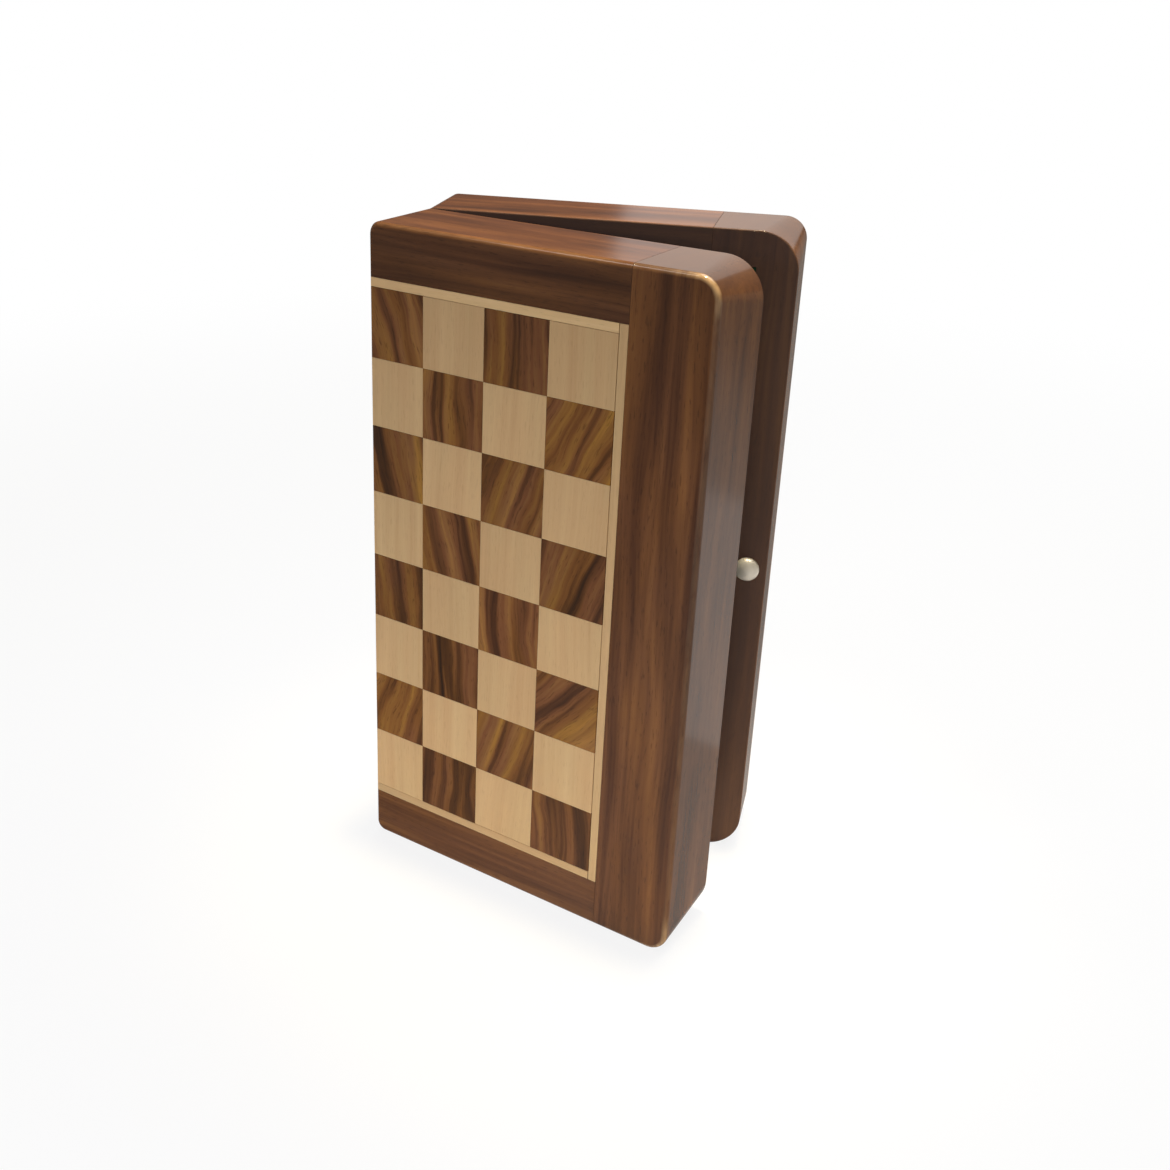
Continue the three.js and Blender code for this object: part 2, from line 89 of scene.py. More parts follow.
RIM_V = STILE_LOW.y
FACE_V = STILE_HIGH.y
TOP_Z = STILE_HIGH.z
FREE_U = STILE_HIGH.x
FOLD_U = RAIL_LOW.x
STILE_U = STILE_LOW.x
RAIL_WIDTH = RAIL_HIGH.z
END_WALL = FOLD_WALL_LOW.z - BOND
CAVITY_START_U = FOLD_WALL_HIGH.x
CAVITY_END_U = PANEL_HIGH.x + BOND
REBATE_V = PANEL_HIGH.y + BOND
TILE_BACK_V = half_box("front_inlay_line")[0].y

# Outer edges
ARRIS_RADIUS = 1.38 * MM
FOLD_EASE = 0.53 * MM
RIM_EASE = 0.4 * MM
FACE_CORNER_RADIUS = 5.6 * MM
RIM_CORNER_RADIUS = 10 * MM
FOLD_CORNER_RADIUS = 2.4 * MM
EDGE_WEAR = 0.1  # the share of the corners' wear that the straight edges have
CORNER_WEAR_REACH = 14  # in millimetres from the tip of a corner
CORNER_STEPS = 18
ARRIS_STEPS = 7
RIM_STEPS = 4

# Board
FILES = 4
RANKS = 8
SQUARE = (FIELD_HIGH.z - FIELD_LOW.z + 2 * BOND) / RANKS
FIELD_TOP_Z = FIELD_HIGH.z + BOND
FIELD_END_U = FIELD_HIGH.x + BOND
LINE_WIDTH = STILE_U - FIELD_END_U
SQUARE_EASE = 0.035 * MM
SQUARE_TONE = {"light": 0.25, "dark": 0.7}
SQUARE_LEAN = {"light": 0.03, "dark": 0.3}  # how far the grain leans from upright, in radians

# Tray
POCKET_FIT = 0.5 * MM
POCKET_FLOOR_GAP = 0.3 * MM
POCKET_CORNER = 1.3 * MM
TRAY_EASE = 0.55 * MM

# Chessmen
MAN_SIDES = 40
MAN_EASE = 0.09 * MM
PAD_DEPTH = 0.45 * MM
CROWN_POINTS = 8
HORSE_VOXEL = 0.32 * MM
HORSE_SOFTENING = (0.5, 7)  # how strongly, and how many times
MANE_LOCKS = 9

# Parts of the men, as shares of the foot's radius. Heights are shares of the man's height.
ROOK_SLOT = 0.14
ROOK_SLOT_FLOOR = 0.895
BISHOP_CUT = (0.02, -0.05, 0.06)  # where it starts, and its two sides
BISHOP_CUT_HEIGHT = 0.79
BISHOP_CUT_SLANT = math.radians(38)
CROWN_NOTCH_RADIUS = 0.125
CROWN_NOTCH_START = 0.34
CROWN_NOTCH_HEIGHT = 0.915
KING_CROSS_FOOT = 0.865
KING_CROSS_MIDDLE = 0.6  # of the cross's own height
KING_CROSS_ARMS = (0.075, 0.055, 0.15)  # half of its thickness, of its waist and of its ends
HORSE_ROUGH_DEPTH = 0.4
MANE_START = 0.3
MANE_WIDTH = 0.3
MANE_SLANT = 0.25
MANE_DEPTH = 0.05

# Hinges
HINGE_LENGTH = LEAF_HIGH.z - LEAF_LOW.z
HINGE_STARTS = {"lower": LEAF_LOW.z, "upper": TOP_Z - LEAF_HIGH.z}
LEAF_WIDTH = LEAF_HIGH.x
LEAF_DEPTH = 0.8 * MM
LEAF_EASE = 0.07 * MM
BARREL_RADIUS = LEAF_HIGH.y
KNUCKLES = 5
KNUCKLE_GAP = 0.24 * MM
KNUCKLE_RUN = 0.3 * MM
KNUCKLE_EASE = 0.12 * MM
SEAT_FIT = 0.08 * MM
PIN_RADIUS = 0.7 * MM
PIN_FIT = 0.08 * MM
PIN_EASE = 0.2 * MM
SCREW_RADIUS = 0.75 * MM
SCREW_HEAD_RADIUS = 1.45 * MM
SCREW_SPACING = 14 * MM
SCREW_FROM_AXIS = 4.7 * MM
SCREW_LENGTH = 8 * MM
SCREW_SINK = 0.12 * MM
SCREW_SLOT = 0.42 * MM
SCREW_SIDES = 28
TURNED_SIDES = 56

# Catch
CATCH_U = (STUD_LOW.x + STUD_HIGH.x) / 2
CATCH_Z = (STUD_LOW.z + STUD_HIGH.z) / 2
STUD_SHANK_RADIUS = 1.5 * MM
CUP_WALL = 0.7 * MM
DOME_STEPS = 12
DOME_WIDEST = 0.62  # where it is widest, as a share of its height
DOME_FOOT = 0.8  # its radius at the rim, as a share of the widest

# Camera, from the perspective of the board's squares in the photograph
PHOTO_SIZE = 1170
FOCAL_LENGTH_PIXELS = 1419.1
OPTICAL_AXIS_PIXEL = (470, 540)
CAMERA_PLACE = Vector((177.2, -308.1, 246.2)) * MM
CAMERA_AIM = Vector((-25.0, -19.4, 91.3)) * MM
CAMERA_ROLL = math.radians(0.88)
SENSOR_WIDTH = 36


# Meshes


def added(name, data):
    """A new object in the scene."""
    piece = bpy.data.objects.new(name, data)
    bpy.context.scene.collection.objects.link(piece)
    return piece


def temporary(mesh):
    """An object that holds a mesh while modifiers work on it."""
    return added("temporary", mesh)


def finished(piece, helpers=()):
    """The mesh of an object with its modifiers applied. The object and its helpers go."""
    graph = bpy.context.evaluated_depsgraph_get()
    mesh = bpy.data.meshes.new_from_object(piece.evaluated_get(graph))
    for used in (piece, *helpers):
        bpy.data.objects.remove(used)
    return mesh


def solid(points, faces):
    mesh = bpy.data.meshes.new("solid")
    mesh.from_pydata([tuple(point) for point in points], [], faces)
    mesh.update()
    return mesh


def box_mesh(low, high):
    (u0, v0, z0), (u1, v1, z1) = low, high
    points = [(u, v, z) for z in (z0, z1) for v in (v0, v1) for u in (u0, u1)]
    faces = [(0, 2, 3, 1), (4, 5, 7, 6), (0, 1, 5, 4), (2, 6, 7, 3), (0, 4, 6, 2), (1, 3, 7, 5)]
    return solid(points, faces)


def prism(first, second):
    """A solid between two rings of as many points."""
    count = len(first)
    faces = [tuple(range(count)), tuple(reversed(range(count, 2 * count)))]
    for i in range(count):
        j = (i + 1) % count
        faces.append((i, i + count, j + count, j))
    return solid([*first, *second], faces)


def merged(meshes):
    """One mesh of several, with their point attributes kept."""
    made = bmesh.new()
    for mesh in meshes:
        made.from_mesh(mesh)
    joined = bpy.data.meshes.new("joined")
    made.to_mesh(joined)
    made.free()
    return joined


def carved(mesh, *tools):
    """A mesh after boolean steps, each a pair of an operation and a tool's mesh."""
    piece = temporary(mesh)
    helpers = []
    for operation, tool in tools:
        helpers.append(temporary(tool))
        modifier = piece.modifiers.new(operation, "BOOLEAN")
        modifier.operation = operation
        modifier.solver = "EXACT"
        modifier.object = helpers[-1]
    return finished(piece, helpers)


def eased(mesh, width, segments=2, angle=math.radians(38)):
    """A mesh with its sharp edges rounded."""
    piece = temporary(mesh)
    modifier = piece.modifiers.new("ease", "BEVEL")
    modifier.width = width
    modifier.segments = segments
    modifier.limit_method = "ANGLE"
    modifier.angle_limit = angle
    return finished(piece)


def smooth(mesh, angle=math.radians(32)):
    mesh.polygons.foreach_set("use_smooth", [True] * len(mesh.polygons))
    mesh.set_sharp_from_angle(angle=angle)
    return mesh


def evenly_shaded(mesh):
    """Flat faces stay flat to the light, and the rounded edges beside them take up the turn."""
    piece = temporary(smooth(mesh))
    modifier = piece.modifiers.new("normals", "WEIGHTED_NORMAL")
    modifier.keep_sharp = True
    return finished(piece)


def turned(profile, sides):
    """A turned solid along +v, from points of radius and height that start and end on the axis."""
    points = []
    faces = []
    rings = []
    for radius, height in profile:
        if not radius:
            rings.append([len(points)])
            points.append((0, height, 0))
        else:
            rings.append(list(range(len(points), len(points) + sides)))
            for i in range(sides):
                angle = i / sides * math.tau
                points.append((radius * math.sin(angle), height, radius * math.cos(angle)))
    for lower, upper in zip(rings, rings[1:]):
        for i in range(sides):
            j = (i + 1) % sides
            if len(lower) == 1 and len(upper) > 1:
                faces.append((lower[0], upper[j], upper[i]))
            elif len(upper) == 1 and len(lower) > 1:
                faces.append((lower[i], lower[j], upper[0]))
            elif len(lower) > 1:
                faces.append((lower[i], lower[j], upper[j], upper[i]))
    mesh = solid(points, faces)
    clean = bmesh.new()
    clean.from_mesh(mesh)
    bmesh.ops.recalc_face_normals(clean, faces=clean.faces)
    clean.to_mesh(mesh)
    clean.free()
    return mesh


# Wood: each plank remembers where in its board it was cut

PLANK_SPREAD = 2000  # how far from the middle of the grain's pattern, in millimetres


def remember(mesh, name, values, kind="FLOAT", domain="POINT"):
    """Stores a value or a vector with each point of a mesh, or with each corner of its faces."""
    data = mesh.attributes.new(name, kind, domain).data
    data.foreach_set("vector" if kind == "FLOAT_VECTOR" else "value", values)


def plank(mesh, along, seed, tilt=0.0, tone=0.0):
    """Gives each point its place in the board it was sawn from, in millimetres, the lightness
    of that board, and how much it shows the end grain. `along` is the grain's direction and
    `tilt` turns it in the face."""
    draw = random.Random(seed)
    along = Vector(along)
    depth = Vector((0, 1, 0)) if abs(along.y) < 0.5 else Vector((0, 0, 1))
    across = depth.cross(along)
    turn = Matrix.Rotation(tilt, 3, depth)
    along, across = turn @ along, turn @ across
    start = Vector([draw.uniform(-PLANK_SPREAD, PLANK_SPREAD) for _ in range(3)])
    places = []
    for vertex in mesh.vertices:
        point = vertex.co / MM
        places.extend(start + Vector((point @ along, point @ across, point @ depth)))
    remember(mesh, "grain", places, "FLOAT_VECTOR")
    remember(mesh, "tone", [tone] * len(mesh.vertices))
    ends = [abs(normal.vector @ along) for normal in smooth(mesh).corner_normals]
    remember(mesh, "end", ends, domain="CORNER")
    return mesh


def worn(mesh):
    """Marks the rounded outer edges, where lacquer wears thin, and the rim, where it is dull
    because the halves rub on each other. Each point also knows its place from the free side
    and the bottom end, in millimetres."""
    wear = []
    rim = []
    from_ends = []
    for vertex in mesh.vertices:
        u, v, z = vertex.co
        rise = (v - (FACE_V - ARRIS_RADIUS)) / ARRIS_RADIUS
        wear.append(math.sin(2 * math.asin(min(1, max(0, rise)))))
        rim.append(max(0, 1 - (v - RIM_V) / RIM_EASE))
        from_ends.extend(((FREE_U - u) / MM, z / MM, 0))
    remember(mesh, "from_ends", from_ends, "FLOAT_VECTOR")
    remember(mesh, "wear", wear)
    remember(mesh, "rim", rim)
    return mesh


# Materials


def linear(code):
    """A colour from its hexadecimal code as a screen shows it."""
    parts = [int(code[i : i + 2], 16) / 255 for i in (0, 2, 4)]
    return tuple(p / 12.92 if p <= 0.04045 else ((p + 0.055) / 1.055) ** 2.4 for p in parts) + (1,)


class Socket:
    """An output of a node. Arithmetic on it adds Math nodes."""

    def __init__(self, nodes, socket):
        self.nodes = nodes
        self.socket = socket

    def sibling(self, output):
        """Another output of the same node."""
        return Socket(self.nodes, self.socket.node.outputs[output])

    def math(self, operation, first, second):
        return self.nodes.add("ShaderNodeMath", {"operation": operation}, {0: first, 1: second})

    def __add__(self, other):
        return self.math("ADD", self, other)

    def __sub__(self, other):
        return self.math("SUBTRACT", self, other)

    def __rsub__(self, other):
        return self.math("SUBTRACT", other, self)

    def __mul__(self, other):
        return self.math("MULTIPLY", self, other)

    def __truediv__(self, other):
        return self.math("DIVIDE", self, other)

    def __rtruediv__(self, other):
        return self.math("DIVIDE", other, self)

    __radd__ = __add__
    __rmul__ = __mul__


class Nodes:
    """The nodes of a material or of the world."""

    def __init__(self, tree):
        self.tree = tree

    def add(self, kind, settings=None, inputs=None, output=0):
        """Adds a node: its settings first, then the values or links of its sockets."""
        node = self.tree.nodes.new(kind)
        for name, value in (settings or {}).items():
            if name == "stops":
                self.set_stops(node.color_ramp, value)
            else:
                setattr(node, name, value)
        for name, value in (inputs or {}).items():
            self.feed(node.inputs[name], value)
        return Socket(self, node.outputs[output])

    @staticmethod
    def set_stops(ramp, stops):
        while len(ramp.elements) < len(stops):
            ramp.elements.new(1)
        for element, (position, code) in zip(ramp.elements, stops):
            element.position = position
            element.color = linear(code)

    def feed(self, target, value):
        if isinstance(value, Socket):
            self.tree.links.new(value.socket, target)
        else:
            target.default_value = value

    def attribute(self, name, output="Fac"):
        return self.add("ShaderNodeAttribute", {"attribute_name": name}, output=output)

    def object_place(self):
        return self.add("ShaderNodeTexCoord", output="Object")

    def combine(self, x, y, z):
        return self.add("ShaderNodeCombineXYZ", inputs={"X": x, "Y": y, "Z": z})

    def split(self, vector):
        """The first of a vector's three parts. The others are its siblings."""
        return self.add("ShaderNodeSeparateXYZ", inputs={0: vector})

    def stretched(self, vector, lengths):
        """A vector divided by three lengths."""
        return self.add("ShaderNodeVectorMath", {"operation": "DIVIDE"}, {0: vector, 1: lengths})

    def distance(self, place, origin=(0, 0, 0)):
        return self.add(
            "ShaderNodeVectorMath", {"operation": "DISTANCE"}, {0: place, 1: origin}, "Value"
        )

    def noise(self, vector, detail=2.0, roughness=0.5):
        return self.add("ShaderNodeTexNoise", inputs={
            "Vector": vector, "Scale": 1.0, "Detail": detail, "Roughness": roughness})

    def ramp(self, value, stops):
        return self.add("ShaderNodeValToRGB", {"stops": stops}, {"Fac": value})

    def between(self, value, low, high):
        """0 below low, 1 above high, and a smooth step between them."""
        return self.add(
            "ShaderNodeMapRange", {"interpolation_type": "SMOOTHSTEP"},
            {"Value": value, "From Min": low, "From Max": high},
        )

    def mix(self, factor, first, second, blend="MIX"):
        return self.add(
            "ShaderNodeMix", {"data_type": "RGBA", "blend_type": blend},
            {0: factor, 6: first, 7: second}, output=2,
        )

    def seen(self):
        """1 where the camera looks, and 1 in reflections and through glass."""
        camera_ray = self.add("ShaderNodeLightPath", output="Is Camera Ray")
        reflected = camera_ray.sibling("Is Glossy Ray") + camera_ray.sibling("Is Transmission Ray")
        return camera_ray, reflected


class Finish(Nodes):
    """A material with one Principled shader."""

    def __init__(self, name, **constants):
        self.material = bpy.data.materials.new(name)
        self.material.use_nodes = True
        super().__init__(self.material.node_tree)
        self.shader = self.tree.nodes["Principled BSDF"]
        self.set(**constants)

    def set(self, **sockets):
        for name, value in sockets.items():
            self.feed(self.shader.inputs[name.replace("_", " ")], value)

    def bump(self, height, distance, strength):
        self.set(Normal=self.add("ShaderNodeBump", inputs={
            "Height": height, "Distance": distance, "Strength": strength}))


# Woods. Sizes are in millimetres: along the grain, then across it.

LACQUER = {
    "Roughness": 0.45,
    "Specular_IOR_Level": 0.0,
    "Coat_Weight": 0.55,
    "Coat_Roughness": 0.14,
    "Coat_IOR": 1.5,
}
WAVE_WIDTH = 14
BAND_LENGTH = 100
LINE_LENGTH = 45
FIBRE = (11, 0.18)
PORE = (3, 0.3)
PORE_EDGES = (0.60, 0.72)
TONE_SHIFT = 0.055  # how far a plank's tone moves its figure towards the light streaks
TONE_SHADE = 0.15
PORE_SHADE = 0.45
WEAR_PATCH = (8, 2)
WEAR_EDGES = (0.2, 0.6)
WEAR_SHARE = 0.9
FIBRE_GLOSS = 0.12
GRAIN_BUMP = 0.03 * MM
RING_STRETCH = 2.2
END_CALM = 0.8  # how much fainter the figure is on end grain
END_COLOUR = "43352c"
END_SHARE = 0.65
RIM_COLOUR = "524540"
RIM_SHARE = 0.62
RIM_DULLNESS = 0.85
BAND_DETAIL = {"detail": 3, "roughness": 0.5}
LINE_DETAIL = {"detail": 3, "roughness": 0.6}
FIBRE_DETAIL = {"roughness": 0.7}
DRIFT_EDGES = (0.38, 0.62)
PORE_BUMP_SHARE = 0.6
BUMP_STRENGTH = 0.5


class Wood(Finish):
    """A finish whose textures follow the grain of each plank."""

    def __init__(self, name, wave, wave_length, **constants):
        """The grain waves by `wave` millimetres, about once in `wave_length`."""
        super().__init__(name, **constants)
        grain = self.attribute("grain", "Vector")
        sway = self.noise(self.stretched(grain, (wave_length, WAVE_WIDTH, WAVE_WIDTH)))
        self.along = self.split(grain)
        self.across = self.along.sibling(1) + (sway - 0.5) * wave
        self.depth = self.along.sibling(2)

    def grains(self, length, width, **settings):
        """Noise that is drawn out along the grain, and less so into the depth of the board."""
        depth = self.depth / (width * RING_STRETCH)
        return self.noise(self.combine(self.along / length, self.across / width, depth), **settings)


def worn_off(finish):
    """How bare the outer edges are: in patches, and most at the free corners."""
    patches = finish.between(finish.grains(*WEAR_PATCH, detail=3), *WEAR_EDGES)
    from_side = finish.split(finish.attribute("from_ends", "Vector"))
    height = from_side.sibling(1)
    from_end = height.math("MINIMUM", height, TOP_Z / MM - height)
    from_corner = finish.distance(finish.combine(from_side, from_end, 0))
    inner = finish.between(from_corner, 0, CORNER_WEAR_REACH)
    return finish.attribute("wear") * patches * (1 - inner * (1 - EDGE_WEAR)) * WEAR_SHARE


def wood(name, stops, wave, wave_length, band_width, line_width, line_share, pores, fibres,
         hue=(WHITE, WHITE), wear_colour=None):
    """A lacquered wood. Its `stops` run from dark streaks to light ones. Broad bands and fine
    lines make the figure. `pores` and `fibres` say how dark they are, and `hue` tints some
    bands one way and some the other."""
    finish = Wood(name, wave, wave_length, **LACQUER)
    tone = finish.attribute("tone")
    bands = finish.grains(BAND_LENGTH, band_width, **BAND_DETAIL)
    lines = finish.grains(LINE_LENGTH, line_width, **LINE_DETAIL)
    end = finish.attribute("end")
    calm = 1 - end * END_CALM
    figure = (bands * (1 - line_share) + lines * line_share - 0.5) * calm
    colour = finish.ramp(figure + tone * TONE_SHIFT + 0.5, stops)
    drift = finish.between(finish.grains(BAND_LENGTH / 2, 2 * band_width), *DRIFT_EDGES)
    colour = finish.mix(1.0, colour, finish.mix(drift, *hue), "MULTIPLY")
    fibre = finish.grains(*FIBRE, **FIBRE_DETAIL)
    shade = fibre * (2 * fibres) + tone * TONE_SHADE + (1 - fibres)
    colour = finish.mix(1.0, colour, finish.combine(shade, shade, shade), "MULTIPLY")
    pore = finish.between(finish.grains(*PORE, detail=1), *PORE_EDGES)
    pore_colour = Vector(linear(stops[0][1])[:3]) * PORE_SHADE
    colour = finish.mix(pore * pores, colour, (*pore_colour, 1))
    if wear_colour:
        colour = finish.mix(end * END_SHARE, colour, linear(END_COLOUR))
        colour = finish.mix(worn_off(finish), colour, linear(wear_colour))
        rim = finish.attribute("rim")
        colour = finish.mix(rim * RIM_SHARE, colour, linear(RIM_COLOUR))
        finish.set(Coat_Weight=(1 - rim * RIM_DULLNESS) * LACQUER["Coat_Weight"])
    gloss = LACQUER["Roughness"] - FIBRE_GLOSS / 2
    finish.set(Base_Color=colour, Roughness=fibre * FIBRE_GLOSS + gloss)
    relief = (1 - pore) * PORE_BUMP_SHARE + fibre * (1 - PORE_BUMP_SHARE)
    finish.bump(relief * calm, GRAIN_BUMP, BUMP_STRENGTH)
    return finish.material


WOODS = {
    "rosewood": dict(
        stops=[(0.30, "321b0e"), (0.42, "4e2d17"), (0.54, "643e21"), (0.70, "82552d")],
        wave=8, wave_length=110, band_width=5, line_width=1.2, line_share=0.3,
        pores=0.35, fibres=0.12,
        hue=((0.97, 0.96, 1.08, 1), (1.03, 1.0, 0.88, 1)), wear_colour="bf9c70",
    ),
    "dark_square_wood": dict(
        stops=[(0.30, "271509"), (0.41, "4d2d13"), (0.50, "704623"), (0.58, "7f562a"),
               (0.70, "9a6e31")],
        wave=7, wave_length=26, band_width=3.8, line_width=1.6, line_share=0.2,
        pores=0.4, fibres=0.14,
        hue=((0.96, 0.93, 1.12, 1), (1.03, 1.03, 0.8, 1)),
    ),
    "maple": dict(
        stops=[(0.25, "b18c61"), (0.45, "bc996d"), (0.60, "c2a073"), (0.80, "ccaa81")],
        wave=4, wave_length=80, band_width=4, line_width=0.8, line_share=0.35,
        pores=0.15, fibres=0.04,
        hue=((1.0, 0.985, 0.96, 1), (0.99, 1.01, 0.99, 1)),
    ),
    "boxwood": dict(
        stops=[(0.25, "b98a4c"), (0.45, "cb9f60"), (0.60, "d6ad70"), (0.80, "e0bc83")],
        wave=2, wave_length=40, band_width=2, line_width=0.5, line_share=0.4,
        pores=0.08, fibres=0.06,
    ),
}

PLYWOOD_WAVE = (3, 30)  # how far its grain waves, and how often
PLYWOOD_BUMP = 0.05 * MM
PLY_JOINTS = (0.31, 0.35), (0.65, 0.69)  # where one ply turns into the next
OUTER_PLY_GRAIN = (20, 0.6)
INNER_PLY_GRAIN = (2.2, 2.2, 0.4)  # how many times its end grain changes in a millimetre


def plywood_finish():
    """Three plies. The middle one shows its end grain, darker, at the edge."""
    finish = Wood("plywood", *PLYWOOD_WAVE, Roughness=0.7, Specular_IOR_Level=0.2)
    ply = finish.attribute("ply")
    inside, outside = (finish.between(ply, *joint) for joint in PLY_JOINTS)
    middle = inside * (1 - outside)
    outer = finish.grains(*OUTER_PLY_GRAIN, detail=3)
    parts = (finish.along, finish.across, finish.depth)
    inner = finish.noise(finish.combine(
        *(part * changes for part, changes in zip(parts, INNER_PLY_GRAIN))
    ))
    pale = finish.ramp(outer, [(0.3, "9a7448"), (0.55, "b98f60"), (0.8, "caa477")])
    brown = finish.ramp(inner, [(0.3, "6e4f30"), (0.55, "8a6741"), (0.8, "9b784f")])
    finish.set(Base_Color=finish.mix(middle, pale, brown))
    finish.bump(outer, PLYWOOD_BUMP, BUMP_STRENGTH)
    return finish.material


# Felt and metals

FELT_FUZZ = 0.6 * MM
FELT_PATCH = 11 * MM
FUZZ_SHARE = 0.6
FUZZ_BUMP = 0.12 * MM
METAL_SMEAR = 8 * MM
METAL_SCRATCH = Vector((0.17, 0.17, 3.3)) * MM
METAL_GLOSS = 0.1  # how far smears and scratches change the roughness
SCRATCH_BUMP = 0.003 * MM


def felt_finish():
    finish = Finish(
        "felt", Roughness=0.95, Specular_IOR_Level=0.1, Sheen_Weight=0.08, Sheen_Roughness=0.6
    )
    place = finish.object_place()
    fuzz = finish.noise(finish.stretched(place, 3 * (FELT_FUZZ,)), detail=3, roughness=0.7)
    patch = finish.noise(finish.stretched(place, 3 * (FELT_PATCH,)))
    nap = fuzz * FUZZ_SHARE + patch * (1 - FUZZ_SHARE)
    finish.set(Base_Color=finish.ramp(nap, [(0.30, "12301f"), (0.52, "1d4730"), (0.75, "2d5f43")]))
    finish.bump(fuzz, FUZZ_BUMP, 0.6)
    return finish.material


def metal(name, dark, light, roughness, metallic=1.0):
    """A polished metal with faint smears and fine upright scratches."""
    finish = Finish(name, Metallic=metallic)
    place = finish.object_place()
    smear = finish.noise(finish.stretched(place, 3 * (METAL_SMEAR,)))
    scratch = finish.noise(finish.stretched(place, METAL_SCRATCH))
    finish.set(
        Base_Color=finish.ramp(smear, [(0.35, dark), (0.65, light)]),
        Roughness=smear * METAL_GLOSS + scratch * METAL_GLOSS + (roughness - METAL_GLOSS),
    )
    finish.bump(scratch, SCRATCH_BUMP, 0.3)
    return finish.material


FINISHES = {name: wood(name, **figure) for name, figure in WOODS.items()}
FINISHES |= {
    "plywood": plywood_finish(),
    "felt": felt_finish(),
    "sheet_steel": metal("sheet_steel", "7d8083", "979a9d", 0.42),
    "brass": metal("brass", "a8823c", "c9a55c", 0.27),
    "nickel": metal("nickel", "c6beb2", "ddd6ca", 0.42, metallic=0.5),
}


# Placing


def dress(piece, slot):
    piece.data.materials.clear()
    piece.data.materials.append(FINISHES[slot])


def place(node, ending, mesh, side, slot, local=None, stands_in=True):
    """Makes a piece of a mesh in half places, which rides on its half and stands in for its
    node. `local` first moves the mesh from its own frame to its half."""
    if local:
        mesh.transform(local)
    if side == "front":
        mesh.transform(MIRROR)
        mesh.flip_normals()
    mesh.transform(PLACES[side])
    piece = added(f"{node}_{ending}", evenly_shaded(mesh))
    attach(piece, BODIES[side])
    dress(piece, slot)
    if stands_in:
        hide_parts(node)


# Frame members


def quarter_turn(steps):
    """The angles that divide a quarter of a turn."""
    return [step / steps * math.pi / 2 for step in range(steps + 1)]


def edge_draw(v, ease):
    """How far the outline draws in at v, for a playing-face edge that is eased by `ease`."""
    if v < RIM_V + RIM_EASE:
        fall = 1 - (v - RIM_V) / RIM_EASE
        return RIM_EASE * (1 - math.sqrt(max(0, 1 - fall * fall)))
    rise = max(0, (v - (FACE_V - ARRIS_RADIUS)) / ARRIS_RADIUS)
    return ease * (1 - math.sqrt(max(0, 1 - rise * rise)))


def arris_heights():
    """Heights that divide the rounding of the playing face's edge into even steps."""
    return [FACE_V - ARRIS_RADIUS * (1 - math.sin(turn)) for turn in quarter_turn(ARRIS_STEPS)]


def outline(v):
    """The outline of a half in u and z at v, with free corners rounder at the rim."""
    side = edge_draw(v, ARRIS_RADIUS)
    fold = edge_draw(v, FOLD_EASE)
    share = (v - RIM_V) / (FACE_V - RIM_V)
    free_radius = RIM_CORNER_RADIUS + (FACE_CORNER_RADIUS - RIM_CORNER_RADIUS) * share - side
    corners = (
        (FOLD_U + fold, side, FOLD_CORNER_RADIUS, 2),
        (FREE_U - side, side, free_radius, 3),
        (FREE_U - side, TOP_Z - side, free_radius, 0),
        (FOLD_U + fold, TOP_Z - side, FOLD_CORNER_RADIUS, 1),
    )
    points = []
    for u, z, radius, quarter in corners:
        middle_u = u + radius * (1 if quarter in (1, 2) else -1)
        middle_z = z + radius * (1 if quarter in (2, 3) else -1)
        for step in range(CORNER_STEPS + 1):
            angle = (quarter + step / CORNER_STEPS) * math.pi / 2
            points.append((
                middle_u + radius * math.cos(angle), v, middle_z + radius * math.sin(angle)
            ))
    return points


def envelope():
    """The rounded block that one half is made of."""
    rim_heights = [RIM_V + RIM_EASE * (1 - math.cos(turn)) for turn in quarter_turn(RIM_STEPS)]
    rings = [outline(v) for v in rim_heights + arris_heights()]
    count = len(rings[0])
    last = (len(rings) - 1) * count
    faces = [tuple(range(count)), tuple(reversed(range(last, last + count)))]
    for layer in range(len(rings) - 1):
        for i in range(count):
            a, b = layer * count + i, layer * count + (i + 1) % count
            faces.append((a, a + count, b + count, b))
    return solid([point for ring in rings for point in ring], faces)


PAST = 5 * MM  # how far a tool runs past the face that it cuts


def upside_down(mesh):
    """The same piece at the other end of the half."""
    mesh.transform(Matrix.Translation((0, 0, TOP_Z)) @ Matrix.Scale(-1, 4, (0, 0, 1)))
    mesh.flip_normals()
    return mesh


def member(low, high, *cuts):
    """What a box keeps of the rounded block, less its cuts."""
    steps = [("INTERSECT", box_mesh(low, high)), *(("DIFFERENCE", cut) for cut in cuts)]
    return eased(carved(envelope(), *steps), JOINT_EASE)


def bottom_rail_mesh():
    """Full width at the playing face, and a thinner wall behind the board."""
    rebate = box_mesh(
        (FOLD_U - PAST, RIM_V - PAST, END_WALL),
        (STILE_U + PAST, REBATE_V, RAIL_WIDTH + PAST),
    )
    low = (FOLD_U - PAST, RIM_V - PAST, -PAST)
    return member(low, (STILE_U - HAIRLINE, FACE_V + PAST, RAIL_WIDTH - HAIRLINE), rebate)


def catch_hole(radius, depth):
    near, far = RIM_V - PAST, RIM_V + depth
    tool = turned([(0, near), (radius, near), (radius, far), (0, far)], TURNED_SIDES)
    tool.transform(Matrix.Translation((CATCH_U, 0, CATCH_Z)))
    return tool


def stile_mesh(hole):
    hollow = box_mesh(
        (STILE_U - PAST, RIM_V - PAST, END_WALL), (CAVITY_END_U, REBATE_V, TOP_Z - END_WALL)
    )
    low = (STILE_U + HAIRLINE, RIM_V - PAST, -PAST)
    return member(low, (FREE_U + PAST, FACE_V + PAST, TOP_Z + PAST), hollow, hole)


